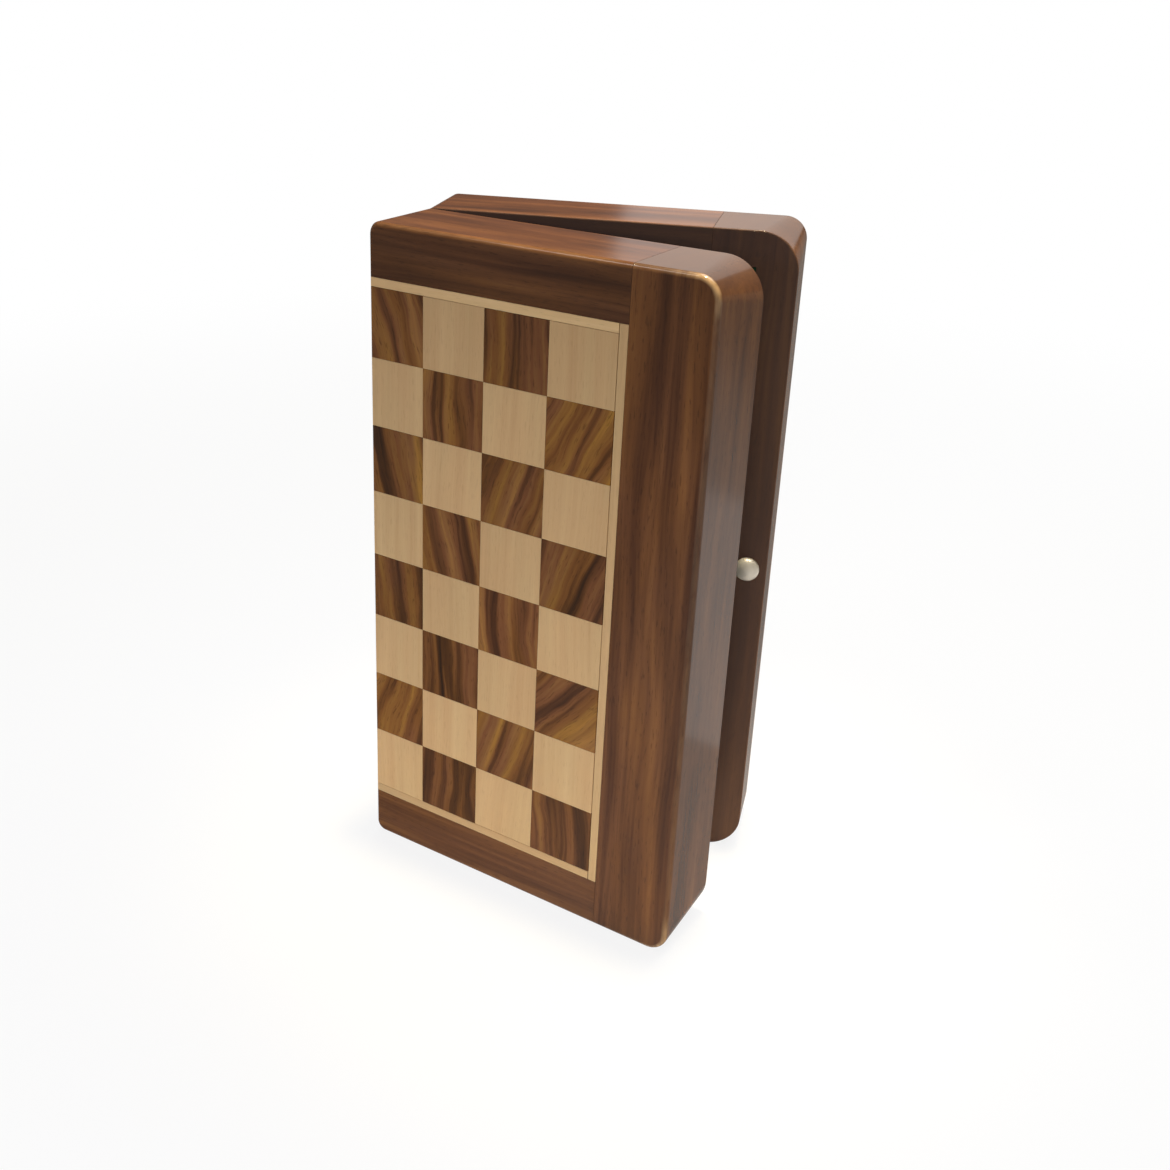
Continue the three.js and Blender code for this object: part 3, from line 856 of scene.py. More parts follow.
def round_bar(radius, low_z, high_z, sides=TURNED_SIDES, ease=0.0):
    """A bar along z on the hinge axis, with its ends eased."""
    profile = [(0, low_z), (radius - ease, low_z)]
    if ease:
        profile += [(radius, low_z + ease), (radius, high_z - ease), (radius - ease, high_z)]
    else:
        profile += [(radius, high_z)]
    profile += [(0, high_z)]
    mesh = turned(profile, sides)
    mesh.transform(Matrix.Rotation(math.pi / 2, 4, "X"))
    return mesh


def hinge_seat(start_z):
    low_z, high_z = start_z - SEAT_FIT, start_z + HINGE_LENGTH + SEAT_FIT
    mortise = box_mesh(
        (FOLD_U - PAST, RIM_V - PAST, low_z),
        (LEAF_WIDTH + SEAT_FIT, RIM_V + LEAF_DEPTH + HAIRLINE, high_z),
    )
    return carved(mortise, ("UNION", round_bar(BARREL_RADIUS + KNUCKLE_RUN, low_z, high_z)))


def fold_wall_mesh():
    low = (FOLD_U - PAST, RIM_V - PAST, END_WALL + HAIRLINE)
    high = (CAVITY_START_U, PANEL_LOW.y - HAIRLINE, TOP_Z - END_WALL - HAIRLINE)
    return member(low, high, *(hinge_seat(start_z) for start_z in HINGE_STARTS.values()))


def frame_members(side, hole):
    members = (
        ("bottom_rail", bottom_rail_mesh(), (1, 0, 0), 0.1),
        ("top_rail", upside_down(bottom_rail_mesh()), (1, 0, 0), -0.7),
        ("stile", stile_mesh(hole), (0, 0, 1), 0.0),
        ("fold_wall", fold_wall_mesh(), (0, 0, 1), -0.3),
    )
    for name, mesh, along, tone in members:
        mesh = worn(plank(mesh, along, f"{side}_{name}", tone=tone))
        place(f"{side}_{name}", "wood", mesh, side, "rosewood")


# Board


def board_block(low_u, high_u, low_z, high_z):
    """A block of the board's face, glued to its neighbours. Its edge at the fold is rounder."""
    at_fold = low_u < FOLD_U + HAIRLINE
    low = (FOLD_U if at_fold else low_u + HAIRLINE, TILE_BACK_V, low_z + HAIRLINE)
    high = (high_u - HAIRLINE, FACE_V, high_z - HAIRLINE)
    outline_points = [(high[0], low[1]), (high[0], high[1])]
    if at_fold:
        for v in reversed(arris_heights()):
            outline_points.append((low[0] + edge_draw(v, FOLD_EASE), v))
    else:
        outline_points.append((low[0], high[1]))
    outline_points.append((low[0], low[1]))
    count = len(outline_points)
    points = [(u, v, z) for z in (low[2], high[2]) for u, v in outline_points]
    faces = [tuple(reversed(range(count))), tuple(range(count, 2 * count))]
    for i in range(count):
        j = (i + 1) % count
        faces.append((i, j, j + count, i + count))
    return eased(solid(points, faces), SQUARE_EASE)


def squares(side, light_parity):
    """Each square is its own block of wood. Some dark ones are cut across a swirl of the grain."""
    for colour, parity, slot in (
        ("light", light_parity, "maple"),
        ("dark", 1 - light_parity, "dark_square_wood"),
    ):
        blocks = []
        for file in range(FILES):
            for rank in range(RANKS):
                if (file + rank) % 2 != parity:
                    continue
                seed = f"{side}_{colour}_{file}_{rank}"
                draw = random.Random(seed)
                low_u = FIELD_END_U - (FILES - file) * SQUARE
                high_z = FIELD_TOP_Z - rank * SQUARE
                block = board_block(max(low_u, FOLD_U), low_u + SQUARE, high_z - SQUARE, high_z)
                lean = draw.gauss(0, SQUARE_LEAN[colour])
                tone = draw.uniform(-1, 1) * SQUARE_TONE[colour]
                blocks.append(plank(block, (0, 0, 1), seed, tilt=lean, tone=tone))
        place(f"{side}_{colour}_squares", "wood", merged(blocks), side, slot)


def inlay_line(side):
    """Three pale strips round the squares. The upright one runs the whole way, and is a little
    darker. A line of glue shows between it and the squares."""
    low_z, high_z = RAIL_WIDTH, TOP_Z - RAIL_WIDTH
    blocks = (
        ("bottom", (1, 0, 0), (FOLD_U, FIELD_END_U, low_z, low_z + LINE_WIDTH - HAIRLINE), -0.5),
        ("top", (1, 0, 0), (FOLD_U, FIELD_END_U, high_z - LINE_WIDTH + HAIRLINE, high_z), 1.6),
        ("upright", (0, 0, 1), (FIELD_END_U + GLUE_LINE, STILE_U, low_z, high_z), -0.1),
    )
    strips = [
        plank(board_block(*edges), along, f"{side}_{name}_line", tone=tone)
        for name, along, edges, tone in blocks
    ]
    place(f"{side}_inlay_line", "wood", merged(strips), side, "maple")


def backing_panel(side):
    """Plywood. Each point knows how deep it lies in the three plies."""
    low = PANEL_LOW - Vector((0, BOND / 2, BOND / 2))
    high = PANEL_HIGH + Vector((BOND / 2,) * 3)
    mesh = plank(eased(box_mesh(low, high), JOINT_EASE), (0, 0, 1), f"{side}_panel")
    share = [(vertex.co.y - low.y) / (high.y - low.y) for vertex in mesh.vertices]
    remember(mesh, "ply", share)
    place(f"{side}_backing_panel", "wood", mesh, side, "plywood")


# Chessmen, each standing along +v from its foot at 0. A profile lists radius and height as shares
# of the foot's radius and the man's height. A point marked CORNER is sharp.

CORNER = True
FOOT_SHARES = [
    (0, 0, CORNER), (0.93, 0, CORNER), (0.99, 0.012), (1, 0.03), (0.98, 0.058),
    (0.91, 0.07, CORNER), (0.86, 0.075, CORNER), (0.86, 0.095, CORNER),
]
PAWN_SHARES = [
    (0, 0, CORNER), (0.93, 0, CORNER), (1, 0.03), (1, 0.07), (0.93, 0.11, CORNER),
    (0.86, 0.115, CORNER), (0.76, 0.17), (0.55, 0.25), (0.4, 0.36), (0.33, 0.48),
    (0.32, 0.555, CORNER), (0.5, 0.57), (0.58, 0.6), (0.5, 0.628), (0.34, 0.645, CORNER),
    (0.45, 0.68), (0.545, 0.74), (0.575, 0.82), (0.52, 0.91), (0.37, 0.97), (0.17, 0.996),
    (0, 1, CORNER),
]
ROOK_SHARES = FOOT_SHARES + [
    (0.76, 0.15), (0.62, 0.23), (0.53, 0.34), (0.48, 0.48), (0.465, 0.6, CORNER), (0.6, 0.615),
    (0.66, 0.64), (0.6, 0.665), (0.52, 0.675, CORNER), (0.6, 0.7), (0.7, 0.75),
    (0.72, 0.8, CORNER), (0.72, 1, CORNER), (0.5, 1, CORNER), (0.47, 0.87, CORNER),
    (0, 0.86, CORNER),
]
BISHOP_SHARES = FOOT_SHARES + [
    (0.74, 0.14), (0.56, 0.21), (0.43, 0.31), (0.36, 0.42), (0.33, 0.53, CORNER), (0.52, 0.542),
    (0.6, 0.56), (0.52, 0.578), (0.4, 0.585, CORNER), (0.46, 0.6), (0.4, 0.615),
    (0.32, 0.625, CORNER), (0.42, 0.66), (0.52, 0.715), (0.54, 0.77), (0.47, 0.835), (0.33, 0.89),
    (0.17, 0.925), (0.11, 0.938, CORNER), (0.165, 0.952), (0.18, 0.968), (0.14, 0.988),
    (0.06, 0.998), (0, 1, CORNER),
]
QUEEN_SHARES = FOOT_SHARES + [
    (0.72, 0.14), (0.53, 0.21), (0.42, 0.32), (0.36, 0.43), (0.33, 0.54, CORNER), (0.53, 0.552),
    (0.61, 0.57), (0.53, 0.588), (0.42, 0.594, CORNER), (0.49, 0.608), (0.42, 0.622),
    (0.35, 0.63, CORNER), (0.38, 0.7), (0.46, 0.79), (0.56, 0.86), (0.63, 0.9, CORNER),
    (0.55, 0.908, CORNER), (0.4, 0.9, CORNER), (0.34, 0.918), (0.2, 0.933), (0.13, 0.938, CORNER),
    (0.19, 0.952), (0.205, 0.969), (0.16, 0.988), (0.07, 0.998), (0, 1, CORNER),
]
KING_SHARES = FOOT_SHARES + [
    (0.72, 0.13), (0.54, 0.2), (0.43, 0.3), (0.37, 0.41), (0.345, 0.515, CORNER), (0.56, 0.527),
    (0.65, 0.545), (0.56, 0.563), (0.44, 0.57, CORNER), (0.52, 0.584), (0.44, 0.598),
    (0.37, 0.605, CORNER), (0.4, 0.67), (0.5, 0.75), (0.6, 0.8), (0.63, 0.82, CORNER),
    (0.56, 0.832, CORNER), (0.42, 0.848), (0.26, 0.862), (0.2, 0.87, CORNER),
    (0.16, 0.878, CORNER), (0, 0.88, CORNER),
]
KNIGHT_FOOT_SHARES = FOOT_SHARES + [
    (0.78, 0.13), (0.68, 0.18), (0.66, 0.225, CORNER), (0.76, 0.24), (0.79, 0.262), (0.74, 0.285),
    (0.6, 0.3, CORNER), (0, 0.3, CORNER),
]
# Side view of the knight's head, as shares: across towards the nose, and up
HORSE_SHARES = [
    (-0.58, 0.25, CORNER), (-0.66, 0.36), (-0.7, 0.48), (-0.69, 0.61), (-0.63, 0.73),
    (-0.51, 0.835), (-0.37, 0.91), (-0.27, 0.955), (-0.2, 1, CORNER), (-0.12, 0.96),
    (-0.07, 0.91, CORNER), (0.06, 0.885), (0.24, 0.835), (0.44, 0.765), (0.63, 0.705),
    (0.745, 0.655), (0.775, 0.605), (0.74, 0.56), (0.66, 0.535), (0.56, 0.53), (0.45, 0.515),
    (0.32, 0.53), (0.2, 0.56), (0.12, 0.565), (0.14, 0.525), (0.24, 0.46), (0.38, 0.38),
    (0.5, 0.31), (0.58, 0.25, CORNER),
]


def curve_through(points, steps=5):
    """A smooth line through points, which turns sharply where one is marked as a corner."""
    line = []
    for i in range(len(points) - 1):
        start, end = Vector(points[i][:2]), Vector(points[i + 1][:2])
        before = start if len(points[i]) > 2 else Vector(points[i - 1][:2])
        after = end if len(points[i + 1]) > 2 else Vector(points[i + 2][:2])
        straight = len(points[i]) > 2 and len(points[i + 1]) > 2
        for step in range(1 if straight else steps):
            t = step / steps
            line.append(0.5 * (
                2 * start
                + (end - before) * t
                + (2 * before - 5 * start + 4 * end - after) * t ** 2
                + (3 * start - before - 3 * end + after) * t ** 3
            ))
    line.append(Vector(points[-1][:2]))
    return line


def turned_man(shares, foot, height):
    profile = [
        (radius * foot, PAD_DEPTH + up * (height - PAD_DEPTH))
        for radius, up in curve_through(shares)
    ]
    profile[0] = (0, profile[0][1])
    profile[-1] = (0, profile[-1][1])
    return eased(turned(profile, MAN_SIDES), MAN_EASE, angle=math.radians(45))


def pawn(foot, height):
    return turned_man(PAWN_SHARES, foot, height)


def rook(foot, height):
    """Four slots divide the tower's wall."""
    slot = ROOK_SLOT * foot
    low, high = ROOK_SLOT_FLOOR * height, height + PAST
    along = box_mesh((-foot, low, -slot), (foot, high, slot))
    across = box_mesh((-slot, low, -foot), (slot, high, foot))
    tower = turned_man(ROOK_SHARES, foot, height)
    tower = carved(tower, ("DIFFERENCE", along), ("DIFFERENCE", across))
    return eased(tower, MAN_EASE, angle=math.radians(60))


def bishop(foot, height):
    """A slanted cut opens the mitre."""
    start, low, high = (share * foot for share in BISHOP_CUT)
    tool = box_mesh((start, low, -foot), (foot, high, foot))
    slant = Matrix.Rotation(BISHOP_CUT_SLANT, 4, "Z")
    tool.transform(Matrix.Translation((0, BISHOP_CUT_HEIGHT * height, 0)) @ slant)
    return carved(turned_man(BISHOP_SHARES, foot, height), ("DIFFERENCE", tool))


def queen(foot, height):
    """Round notches make the crown's points."""
    body = turned_man(QUEEN_SHARES, foot, height)
    lift = Matrix.Translation((0, CROWN_NOTCH_HEIGHT * height, 0))
    notches = []
    for i in range(CROWN_POINTS):
        notch = round_bar(CROWN_NOTCH_RADIUS * foot, CROWN_NOTCH_START * foot, foot)
        notch.transform(Matrix.Rotation(i / CROWN_POINTS * math.tau, 4, "Y") @ lift)
        notches.append(("DIFFERENCE", notch))
    return carved(body, *notches)


def king(foot, height):
    """A cross with flared arms stands on the crown."""
    low, high = KING_CROSS_FOOT * height, height
    middle = low + KING_CROSS_MIDDLE * (high - low)
    arm = high - middle
    thick, narrow, wide = (share * foot for share in KING_CROSS_ARMS)
    outline_points = [
        (-wide, low), (-narrow, middle - narrow), (-arm, middle - wide), (-arm, middle + wide),
        (-narrow, middle + narrow), (-wide, high), (wide, high), (narrow, middle + narrow),
        (arm, middle + wide), (arm, middle - wide), (narrow, middle - narrow), (wide, low),
    ]
    rings = ([(x, y, z) for z, y in outline_points] for x in (-thick, thick))
    cross = eased(prism(*rings), MAN_EASE)
    return carved(turned_man(KING_SHARES, foot, height), ("UNION", cross))


HORSE_HEIGHT_SCALE = 1.6  # makes distances on the head about true
NECK_DEPTH, NECK_TAPER, NECK_TOP = 0.44, 0.2, 0.3
NOSE_TAPER, NOSE_CURVE = 0.13, 0.8
LIPS_START, LIPS_END = 0.74, 0.46
LIPS_HEIGHT, LIPS_SLOPE = 0.575, 0.05
LIPS_DEPTH, LIPS_WIDTH = 0.045, 0.008
# How far each stands out, where it is, and its size
HORSE_FEATURES = (
    (0.07, (0.16, 1.06), 0.26),  # cheek
    (0.035, (0.2, 1.27), 0.09),  # eye
    (-0.05, (0.36, 1.24), 0.1),  # hollow before the eye
    (-0.05, (0.66, 1.03), 0.045),  # nostril
)


def bump_at(place, centre, size):
    return math.exp(-((place - Vector(centre)).length / size) ** 2)


def horse_depth(across, up):
    """How far the head's side stands out, as a share: thick at the neck, thin at the nose."""
    spot = Vector((across, up * HORSE_HEIGHT_SCALE))
    neck = NECK_DEPTH - NECK_TAPER * max(0, up - NECK_TOP)
    depth = neck - NOSE_TAPER * max(0, across) ** NOSE_CURVE
    for rise, centre, size in HORSE_FEATURES:
        depth += rise * bump_at(spot, centre, size)
    if across > LIPS_END:
        from_lips = up - (LIPS_HEIGHT + LIPS_SLOPE * (LIPS_START - across))
        depth -= LIPS_DEPTH * math.exp(-((from_lips / LIPS_WIDTH) ** 2))
    return depth


def knight(foot, height):
    """A carved horse's head on a turned foot."""
    line = curve_through(HORSE_SHARES, 4)
    rough = HORSE_ROUGH_DEPTH * foot
    rings = ([(x, up * height, -across * foot) for across, up in line] for x in (-rough, rough))
    head = temporary(prism(*rings))
    remesh = head.modifiers.new("clay", "REMESH")
    remesh.mode = "VOXEL"
    remesh.voxel_size = HORSE_VOXEL
    soften = head.modifiers.new("soften", "SMOOTH")
    soften.factor, soften.iterations = HORSE_SOFTENING
    mesh = finished(head)
    back = [Vector((across * foot, up * height)) for across, up, *_ in HORSE_SHARES[1:8]]
    for vertex in mesh.vertices:
        side, up, across = vertex.co.x / rough, vertex.co.y / height, -vertex.co.z / foot
        depth = horse_depth(across, up)
        if across < 0 and up > MANE_START:
            spot = Vector((across * foot, up * height))
            reach = min((spot - point).length for point in back)
            mane = math.exp(-((reach / (MANE_WIDTH * foot)) ** 2))
            lock = math.cos(MANE_LOCKS * math.tau * (up + MANE_SLANT * across))
            depth -= MANE_DEPTH * mane * (1 + lock)
        vertex.co.x = side * depth * foot
    base = turned_man(KNIGHT_FOOT_SHARES, foot, height)
    return carved(base, ("UNION", mesh))


PAD_SHARES = [(0, 0), (0.86, 0), (0.9, 0.25), (0.9, 1), (0, 1)]


def felt_pad(foot):
    return turned([(radius * foot, up * PAD_DEPTH) for radius, up in PAD_SHARES], MAN_SIDES)


def man_place(low, high, foot_first):
    """Lies the man down where its node lies, with its foot at the low or the high end."""
    turn, end = (-math.pi / 2, low.x) if foot_first else (math.pi / 2, high.x)
    middle = Vector((end, (low.y + high.y) / 2, (low.z + high.z) / 2))
    return Matrix.Translation(middle) @ Matrix.Rotation(turn, 4, "Z")


def chessmen(side, colour, slot):
    for name, shape in MEN.items():
        node = f"{colour}_{name}"
        low, high = half_box(node, side)
        local = man_place(low, high, name.startswith("pawn"))
        mesh = plank(shape.copy(), (0, 1, 0), node, tone=random.Random(node).uniform(-1, 1))
        place(node, "turned", mesh, side, slot, local)
        foot = (high.z - low.z) / 2
        place(node, "pad", felt_pad(foot), side, "felt", local, stands_in=False)


# Tray


def pocket(low, high):
    """A tool as long as a man and as deep as his foot, with round corners."""
    foot = (high.z - low.z) / 2
    middle_v = (low.y + high.y) / 2
    tool = box_mesh(
        (low.x - POCKET_FIT, TRAY_LOW.y - PAST, low.z - POCKET_FIT),
        (high.x + POCKET_FIT, middle_v + foot + POCKET_FLOOR_GAP, high.z + POCKET_FIT),
    )
    return eased(tool, POCKET_CORNER, segments=4)


def piece_tray(side, colour):
    slab = box_mesh(TRAY_LOW - Vector((BOND / 2, 0, BOND / 2)), TRAY_HIGH + Vector((BOND / 2,) * 3))
    tools = [("DIFFERENCE", pocket(*half_box(f"{colour}_{name}", side))) for name in MEN]
    mesh = eased(carved(slab, *tools), TRAY_EASE, segments=4, angle=math.radians(60))
    place(f"{side}_piece_tray", "felt", mesh, side, "felt")


# Hinges


def screw_hole(middle_z):
    """A countersunk hole in a leaf."""
    tool = turned([
        (0, RIM_V - PAST),
        (SCREW_HEAD_RADIUS, RIM_V - PAST),
        (SCREW_HEAD_RADIUS, RIM_V),
        (SCREW_RADIUS, RIM_V + LEAF_DEPTH),
        (SCREW_RADIUS, RIM_V + PAST),
        (0, RIM_V + PAST),
    ], SCREW_SIDES)
    tool.transform(Matrix.Translation((SCREW_FROM_AXIS, 0, middle_z)))
    return tool


def hinge_leaf_mesh(start_z, first):
    """A leaf holds the knuckles whose number is even, or odd where first is 1."""
    knuckle = HINGE_LENGTH / KNUCKLES
    end_z = start_z + HINGE_LENGTH
    mesh = box_mesh((0, RIM_V, start_z), (LEAF_WIDTH, RIM_V + LEAF_DEPTH, end_z))
    steps = []
    for i in range(KNUCKLES):
        low_z, high_z = start_z + i * knuckle, start_z + (i + 1) * knuckle
        gap = KNUCKLE_GAP / 2
        if i % 2 == first:
            tube = round_bar(BARREL_RADIUS, low_z + gap, high_z - gap, ease=KNUCKLE_EASE)
            steps.append(("UNION", tube))
        else:
            room = round_bar(BARREL_RADIUS + KNUCKLE_RUN, low_z - gap, high_z + gap)
            steps.append(("DIFFERENCE", room))
    bore = round_bar(PIN_RADIUS + PIN_FIT, start_z - PAST, end_z + PAST, SCREW_SIDES)
    steps.append(("DIFFERENCE", bore))
    steps += [("DIFFERENCE", screw_hole(z)) for z in screw_heights(start_z)]
    return eased(carved(mesh, *steps), LEAF_EASE, angle=math.radians(50))


def screw_heights(start_z):
    middle = start_z + HINGE_LENGTH / 2
    return middle - SCREW_SPACING / 2, middle + SCREW_SPACING / 2


def screw_mesh(middle_z, turn):
    """A countersunk screw with a slot, its head flush with the leaf."""
    taper = (SCREW_HEAD_RADIUS - SCREW_RADIUS) / LEAF_DEPTH
    head = SCREW_HEAD_RADIUS - taper * SCREW_SINK - 2 * HAIRLINE
    body = turned([
        (0, RIM_V + SCREW_SINK),
        (head - HAIRLINE, RIM_V + SCREW_SINK),
        (head, RIM_V + SCREW_SINK + HAIRLINE),
        (SCREW_RADIUS, RIM_V + LEAF_DEPTH),
        (SCREW_RADIUS, RIM_V + SCREW_LENGTH - SCREW_RADIUS * 2),
        (0, RIM_V + SCREW_LENGTH),
    ], SCREW_SIDES)
    slot = SCREW_SLOT / 2
    tool = box_mesh(
        (-SCREW_HEAD_RADIUS, RIM_V - PAST, -slot),
        (SCREW_HEAD_RADIUS, RIM_V + SCREW_SINK + SCREW_SLOT, slot),
    )
    tool.transform(Matrix.Rotation(turn, 4, "Y"))
    mesh = carved(body, ("DIFFERENCE", tool))
    mesh.transform(Matrix.Translation((SCREW_FROM_AXIS, 0, middle_z)))
    return mesh


def hinges():
    for which, start_z in HINGE_STARTS.items():
        for side, first in (("front", 0), ("rear", 1)):
            leaf = f"{which}_hinge_{side}_leaf"
            place(leaf, "brass", hinge_leaf_mesh(start_z, first), side, "brass")
            draw = random.Random(leaf)
            screws = [screw_mesh(z, draw.uniform(0, math.pi)) for z in screw_heights(start_z)]
            place(f"{which}_hinge_{side}", "screws", merged(screws), side, "brass", stands_in=False)
        pin = round_bar(PIN_RADIUS, start_z, start_z + HINGE_LENGTH, ease=PIN_EASE)
        place(f"{which}_hinge_pin", "brass", pin, "front", "brass")


# Catch


def catch():
    """A domed stud on the rear rim, and the cup in the front rim that it snaps into."""
    radius, dome_top = (STUD_HIGH.x - STUD_LOW.x) / 2, STUD_LOW.y
    rise = RIM_V - dome_top
    widest_v = dome_top + DOME_WIDEST * rise
    seat_v = RIM_V - FOLD_U
    profile = [(0, dome_top)]
    for angle in quarter_turn(DOME_STEPS)[1:]:
        profile.append((
            radius * math.sin(angle), widest_v - (widest_v - dome_top) * math.cos(angle)
        ))
    for angle in quarter_turn(DOME_STEPS // 2)[1:]:
        profile.append((
            radius * (DOME_FOOT + (1 - DOME_FOOT) * math.cos(angle)),
            widest_v + (seat_v - widest_v) * math.sin(angle),
        ))
    shank = STUD_SHANK_RADIUS
    profile += [(shank, seat_v), (shank, STUD_HIGH.y), (0, STUD_HIGH.y)]
    stud = turned(profile, TURNED_SIDES)
    at_catch = Matrix.Translation((CATCH_U, 0, CATCH_Z))
    place("catch_stud", "nickel", stud, "rear", "nickel", at_catch)

    outer, depth = (CUP_HIGH.x - CUP_LOW.x) / 2, CUP_HIGH.y
    bore = outer - CUP_WALL
    cup = turned([
        (0, depth - CUP_WALL),
        (bore - 2 * CUP_WALL, depth - CUP_WALL),
        (bore, depth - 3 * CUP_WALL),
        (bore, RIM_V + CUP_WALL / 2),
        (bore + CUP_WALL / 3, RIM_V + CUP_WALL / 8),
        (bore + CUP_WALL / 2, RIM_V),
        (outer - CUP_WALL / 5, RIM_V),
        (outer, RIM_V + CUP_WALL / 5),
        (outer, depth - CUP_WALL),
        (outer - CUP_WALL, depth),
        (0, depth),
    ], TURNED_SIDES)
    place("catch_cup", "nickel", cup, "front", "nickel", at_catch)


# Assembly

MEN = {}
for maker, copies in (rook, 2), (knight, 2), (bishop, 2), (queen, 1), (king, 1), (pawn, 8):
    numbers = [""] if copies == 1 else [f"_{number + 1}" for number in range(copies)]
    names = [maker.__name__ + number for number in numbers]
    low_corner, high_corner = half_box(f"dark_{names[0]}")
    man = maker((high_corner.z - low_corner.z) / 2, high_corner.x - low_corner.x)
    MEN |= {name: man for name in names}

SIDES = {
    "front": {"light_parity": 1, "men": ("dark", "rosewood"), "hole": CUP_HIGH.x - CATCH_U},
    "rear": {"light_parity": 0, "men": ("light", "boxwood"), "hole": STUD_SHANK_RADIUS},
}
for side, build in SIDES.items():
    hole_depth = (CUP_HIGH if side == "front" else STUD_HIGH).y - RIM_V
    frame_members(side, catch_hole(build["hole"] + HAIRLINE, hole_depth + HAIRLINE))
    squares(side, build["light_parity"])
    inlay_line(side)
    backing_panel(side)
    dress(frame["nodes"][f"{side}_steel_sheet"], "sheet_steel")
    piece_tray(side, build["men"][0])
    chessmen(side, *build["men"])
hinges()
catch()


# Floor, light and camera


FLOOR_REACH = 40  # to its far edge, in metres
FLOOR_COLOUR = "e4e2de"
SHADOW_SHARE = 0.15  # how strongly the floor shows shadows, near the object
SHADOW_FADE = (0.2, 0.7)  # from here to here, in metres, the shadows fade into white
# The floor glows in reflections, though it is no lamp: a painted pool of light, warm and brightest
# near one spot to the right of the object, which paints a sheen on the lacquer.
PAINTED_POOL_TINT = (1.0, 0.94, 0.86)  # its colour in the lacquer
PAINTED_POOL_CENTRE = (1.0, -0.3, 0)
PAINTED_POOL_FADE = (0.97, 1.1)  # between these distances from the bright spot, its reflection dims
PAINTED_POOL_FAR_DIM = 0.62  # by this much
WORLD_GLOSSY_SHARE = 0.06
FILL_COLOUR = (1.0, 0.98, 0.95, 1)
FILL_STRENGTH = 0.13


def stage_floor():
    """Lit as any floor, but white to the camera, with a soft shadow near the object. In reflections
    it glows instead: a painted pool of light, warm and brightest near one spot, that puts a painted
    sheen on the lacquer.
    """
    reach = FLOOR_REACH
    mesh = solid(
        [(-reach, -reach, 0), (reach, -reach, 0), (reach, reach, 0), (-reach, reach, 0)],
        [(0, 1, 2, 3)],
    )
    finish = Finish("floor", Roughness=0.9, Specular_IOR_Level=0.0, Base_Color=linear(FLOOR_COLOUR))
    spot = finish.object_place()
    far = finish.between(finish.distance(spot), *SHADOW_FADE)
    # Painted pool of light: the floor's glow in reflections dims away from one spot.
    pool_fade = finish.between(finish.distance(spot, PAINTED_POOL_CENTRE), *PAINTED_POOL_FADE)
    camera_ray, reflected = finish.seen()
    near = reflected * (1 - pool_fade * PAINTED_POOL_FAR_DIM)
    white_and_pool_shades = [camera_ray + near * share for share in PAINTED_POOL_TINT]
    # The floor glows though it is no lamp: evenly white to the camera, and a painted reflection in
    # the lacquer.
    white_and_painted_glow = finish.add("ShaderNodeEmission", inputs={
        "Color": finish.combine(*white_and_pool_shades), "Strength": 1.0})
    lit = Socket(finish, finish.shader.outputs[0])
    mixed = finish.add("ShaderNodeMixShader", inputs={
        0: camera_ray * (far * SHADOW_SHARE + (1 - SHADOW_SHARE)) + reflected, 1: lit, 2: white_and_painted_glow})
    finish.feed(finish.tree.nodes["Material Output"].inputs["Surface"], mixed)
    mesh.materials.append(finish.material)
    added("floor", mesh)


def lamp(name, kind, place, aim, power, mirrored=True, **settings):
    """A lamp that faces its aim. The camera doesn't see it, and `mirrored` says whether the
    lacquer does."""
    light = bpy.data.lights.new(name, kind)
    light.energy = power
    for setting, value in settings.items():
        setattr(light, setting, value)
    lamp_object = added(name, light)
    lamp_object.visible_camera = False
    lamp_object.visible_glossy = mirrored
    lamp_object.location = place
    direction = Vector(aim) - Vector(place)
    lamp_object.rotation_euler = direction.to_track_quat("-Z", "Y").to_euler()


def soft_light(name, place, aim, size, power):
    """A softbox, `size` wide and high."""
    lamp(name, "AREA", place, aim, power, shape="RECTANGLE", size=size[0], size_y=size[1])


def spot_light(name, place, aim, spread, radius, power, colour=WHITE[:3], mirrored=True):
    """A soft spot, which fades from its aim outwards. Its `spread` is in degrees."""
    lamp(name, "SPOT", place, aim, power, mirrored, color=colour, shadow_soft_size=radius,
         spot_size=math.radians(spread), spot_blend=1)


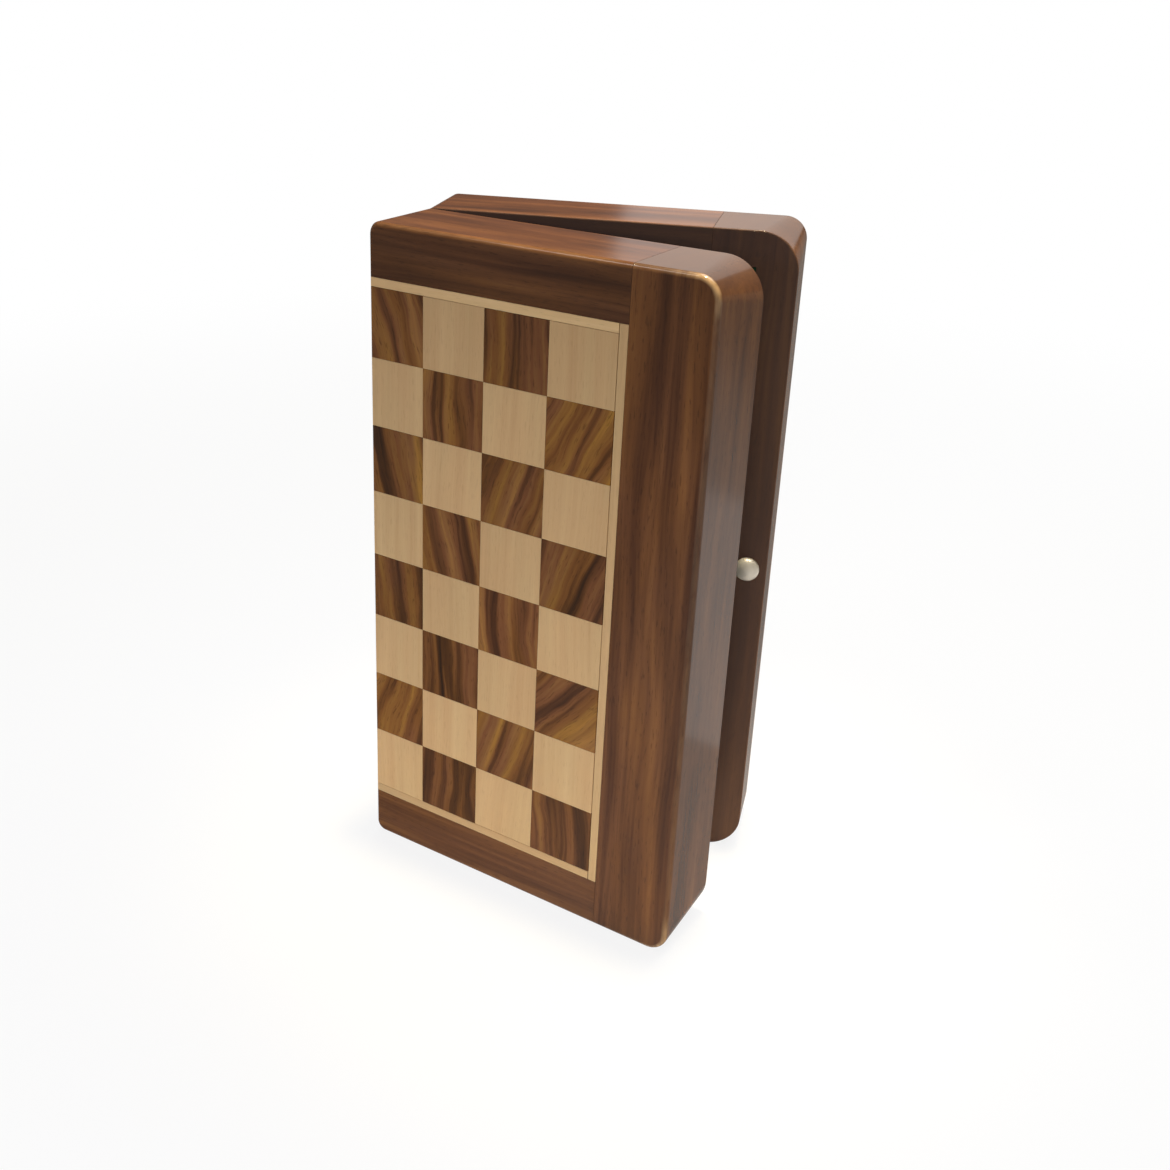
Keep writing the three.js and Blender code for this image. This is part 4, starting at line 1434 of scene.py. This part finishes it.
def world_light():
    """An even fill, in front of a white backdrop."""
    world = bpy.data.worlds.new("studio")
    bpy.context.scene.world = world
    world.use_nodes = True
    nodes = Nodes(world.node_tree)
    fill = nodes.add(
        "ShaderNodeBackground", inputs={"Color": FILL_COLOUR, "Strength": FILL_STRENGTH}
    )
    backdrop = nodes.add("ShaderNodeBackground", inputs={"Color": WHITE, "Strength": 1.0})
    camera_ray, reflected = nodes.seen()
    mixed = nodes.add("ShaderNodeMixShader", inputs={
        0: camera_ray + reflected * WORLD_GLOSSY_SHARE, 1: fill, 2: backdrop})
    nodes.feed(nodes.tree.nodes["World Output"].inputs["Surface"], mixed)


def camera():
    data = bpy.data.cameras.new("camera")
    data.sensor_width = SENSOR_WIDTH
    data.lens = FOCAL_LENGTH_PIXELS / PHOTO_SIZE * SENSOR_WIDTH
    data.shift_x = 0.5 - OPTICAL_AXIS_PIXEL[0] / PHOTO_SIZE
    data.shift_y = OPTICAL_AXIS_PIXEL[1] / PHOTO_SIZE - 0.5
    data.clip_start = 0.01
    eye = added("camera", data)
    eye.location = CAMERA_PLACE
    aim = (CAMERA_AIM - CAMERA_PLACE).to_track_quat("-Z", "Y").to_matrix()
    eye.rotation_euler = (aim @ Matrix.Rotation(CAMERA_ROLL, 3, "Z")).to_euler()
    bpy.context.scene.camera = eye


stage_floor()
world_light()
camera()
soft_light("overhead_light", (0.05, 0.2, 0.7), (0, 0.05, 0.1), size=(0.5, 0.5), power=5.2)
soft_light("back_light", (-0.23, 0.98, 0.5), (-0.23, 0, 0.17), size=(0.66, 0.5), power=0.97)
soft_light("low_right_light", (0.16, 0.16, 0.002), (0.16, 0.16, 1), size=(0.2, 0.2), power=0.06)
spot_light("edge_spot", (-0.45, -0.4, 0.97), (0, -0.03, 0.17), spread=20, radius=0.12, power=6)
spot_light("top_spot", (0.02, 0.03, 1.1), (0.01, 0, 0.1778), spread=13, radius=0.05, power=84,
           colour=(1, 0.85, 0.52))
spot_light("left_spot", (-0.35, -0.95, 0.35), (0, 0, -0.05), spread=32, radius=0.12, power=9.5,
           colour=(0.85, 1, 1.5), mirrored=False)
spot_light("right_spot", (0.45, -0.9, 0.35), (0, 0, -0.05), spread=32, radius=0.12, power=20,
           mirrored=False)
bpy.context.scene.view_settings.view_transform = "Standard"
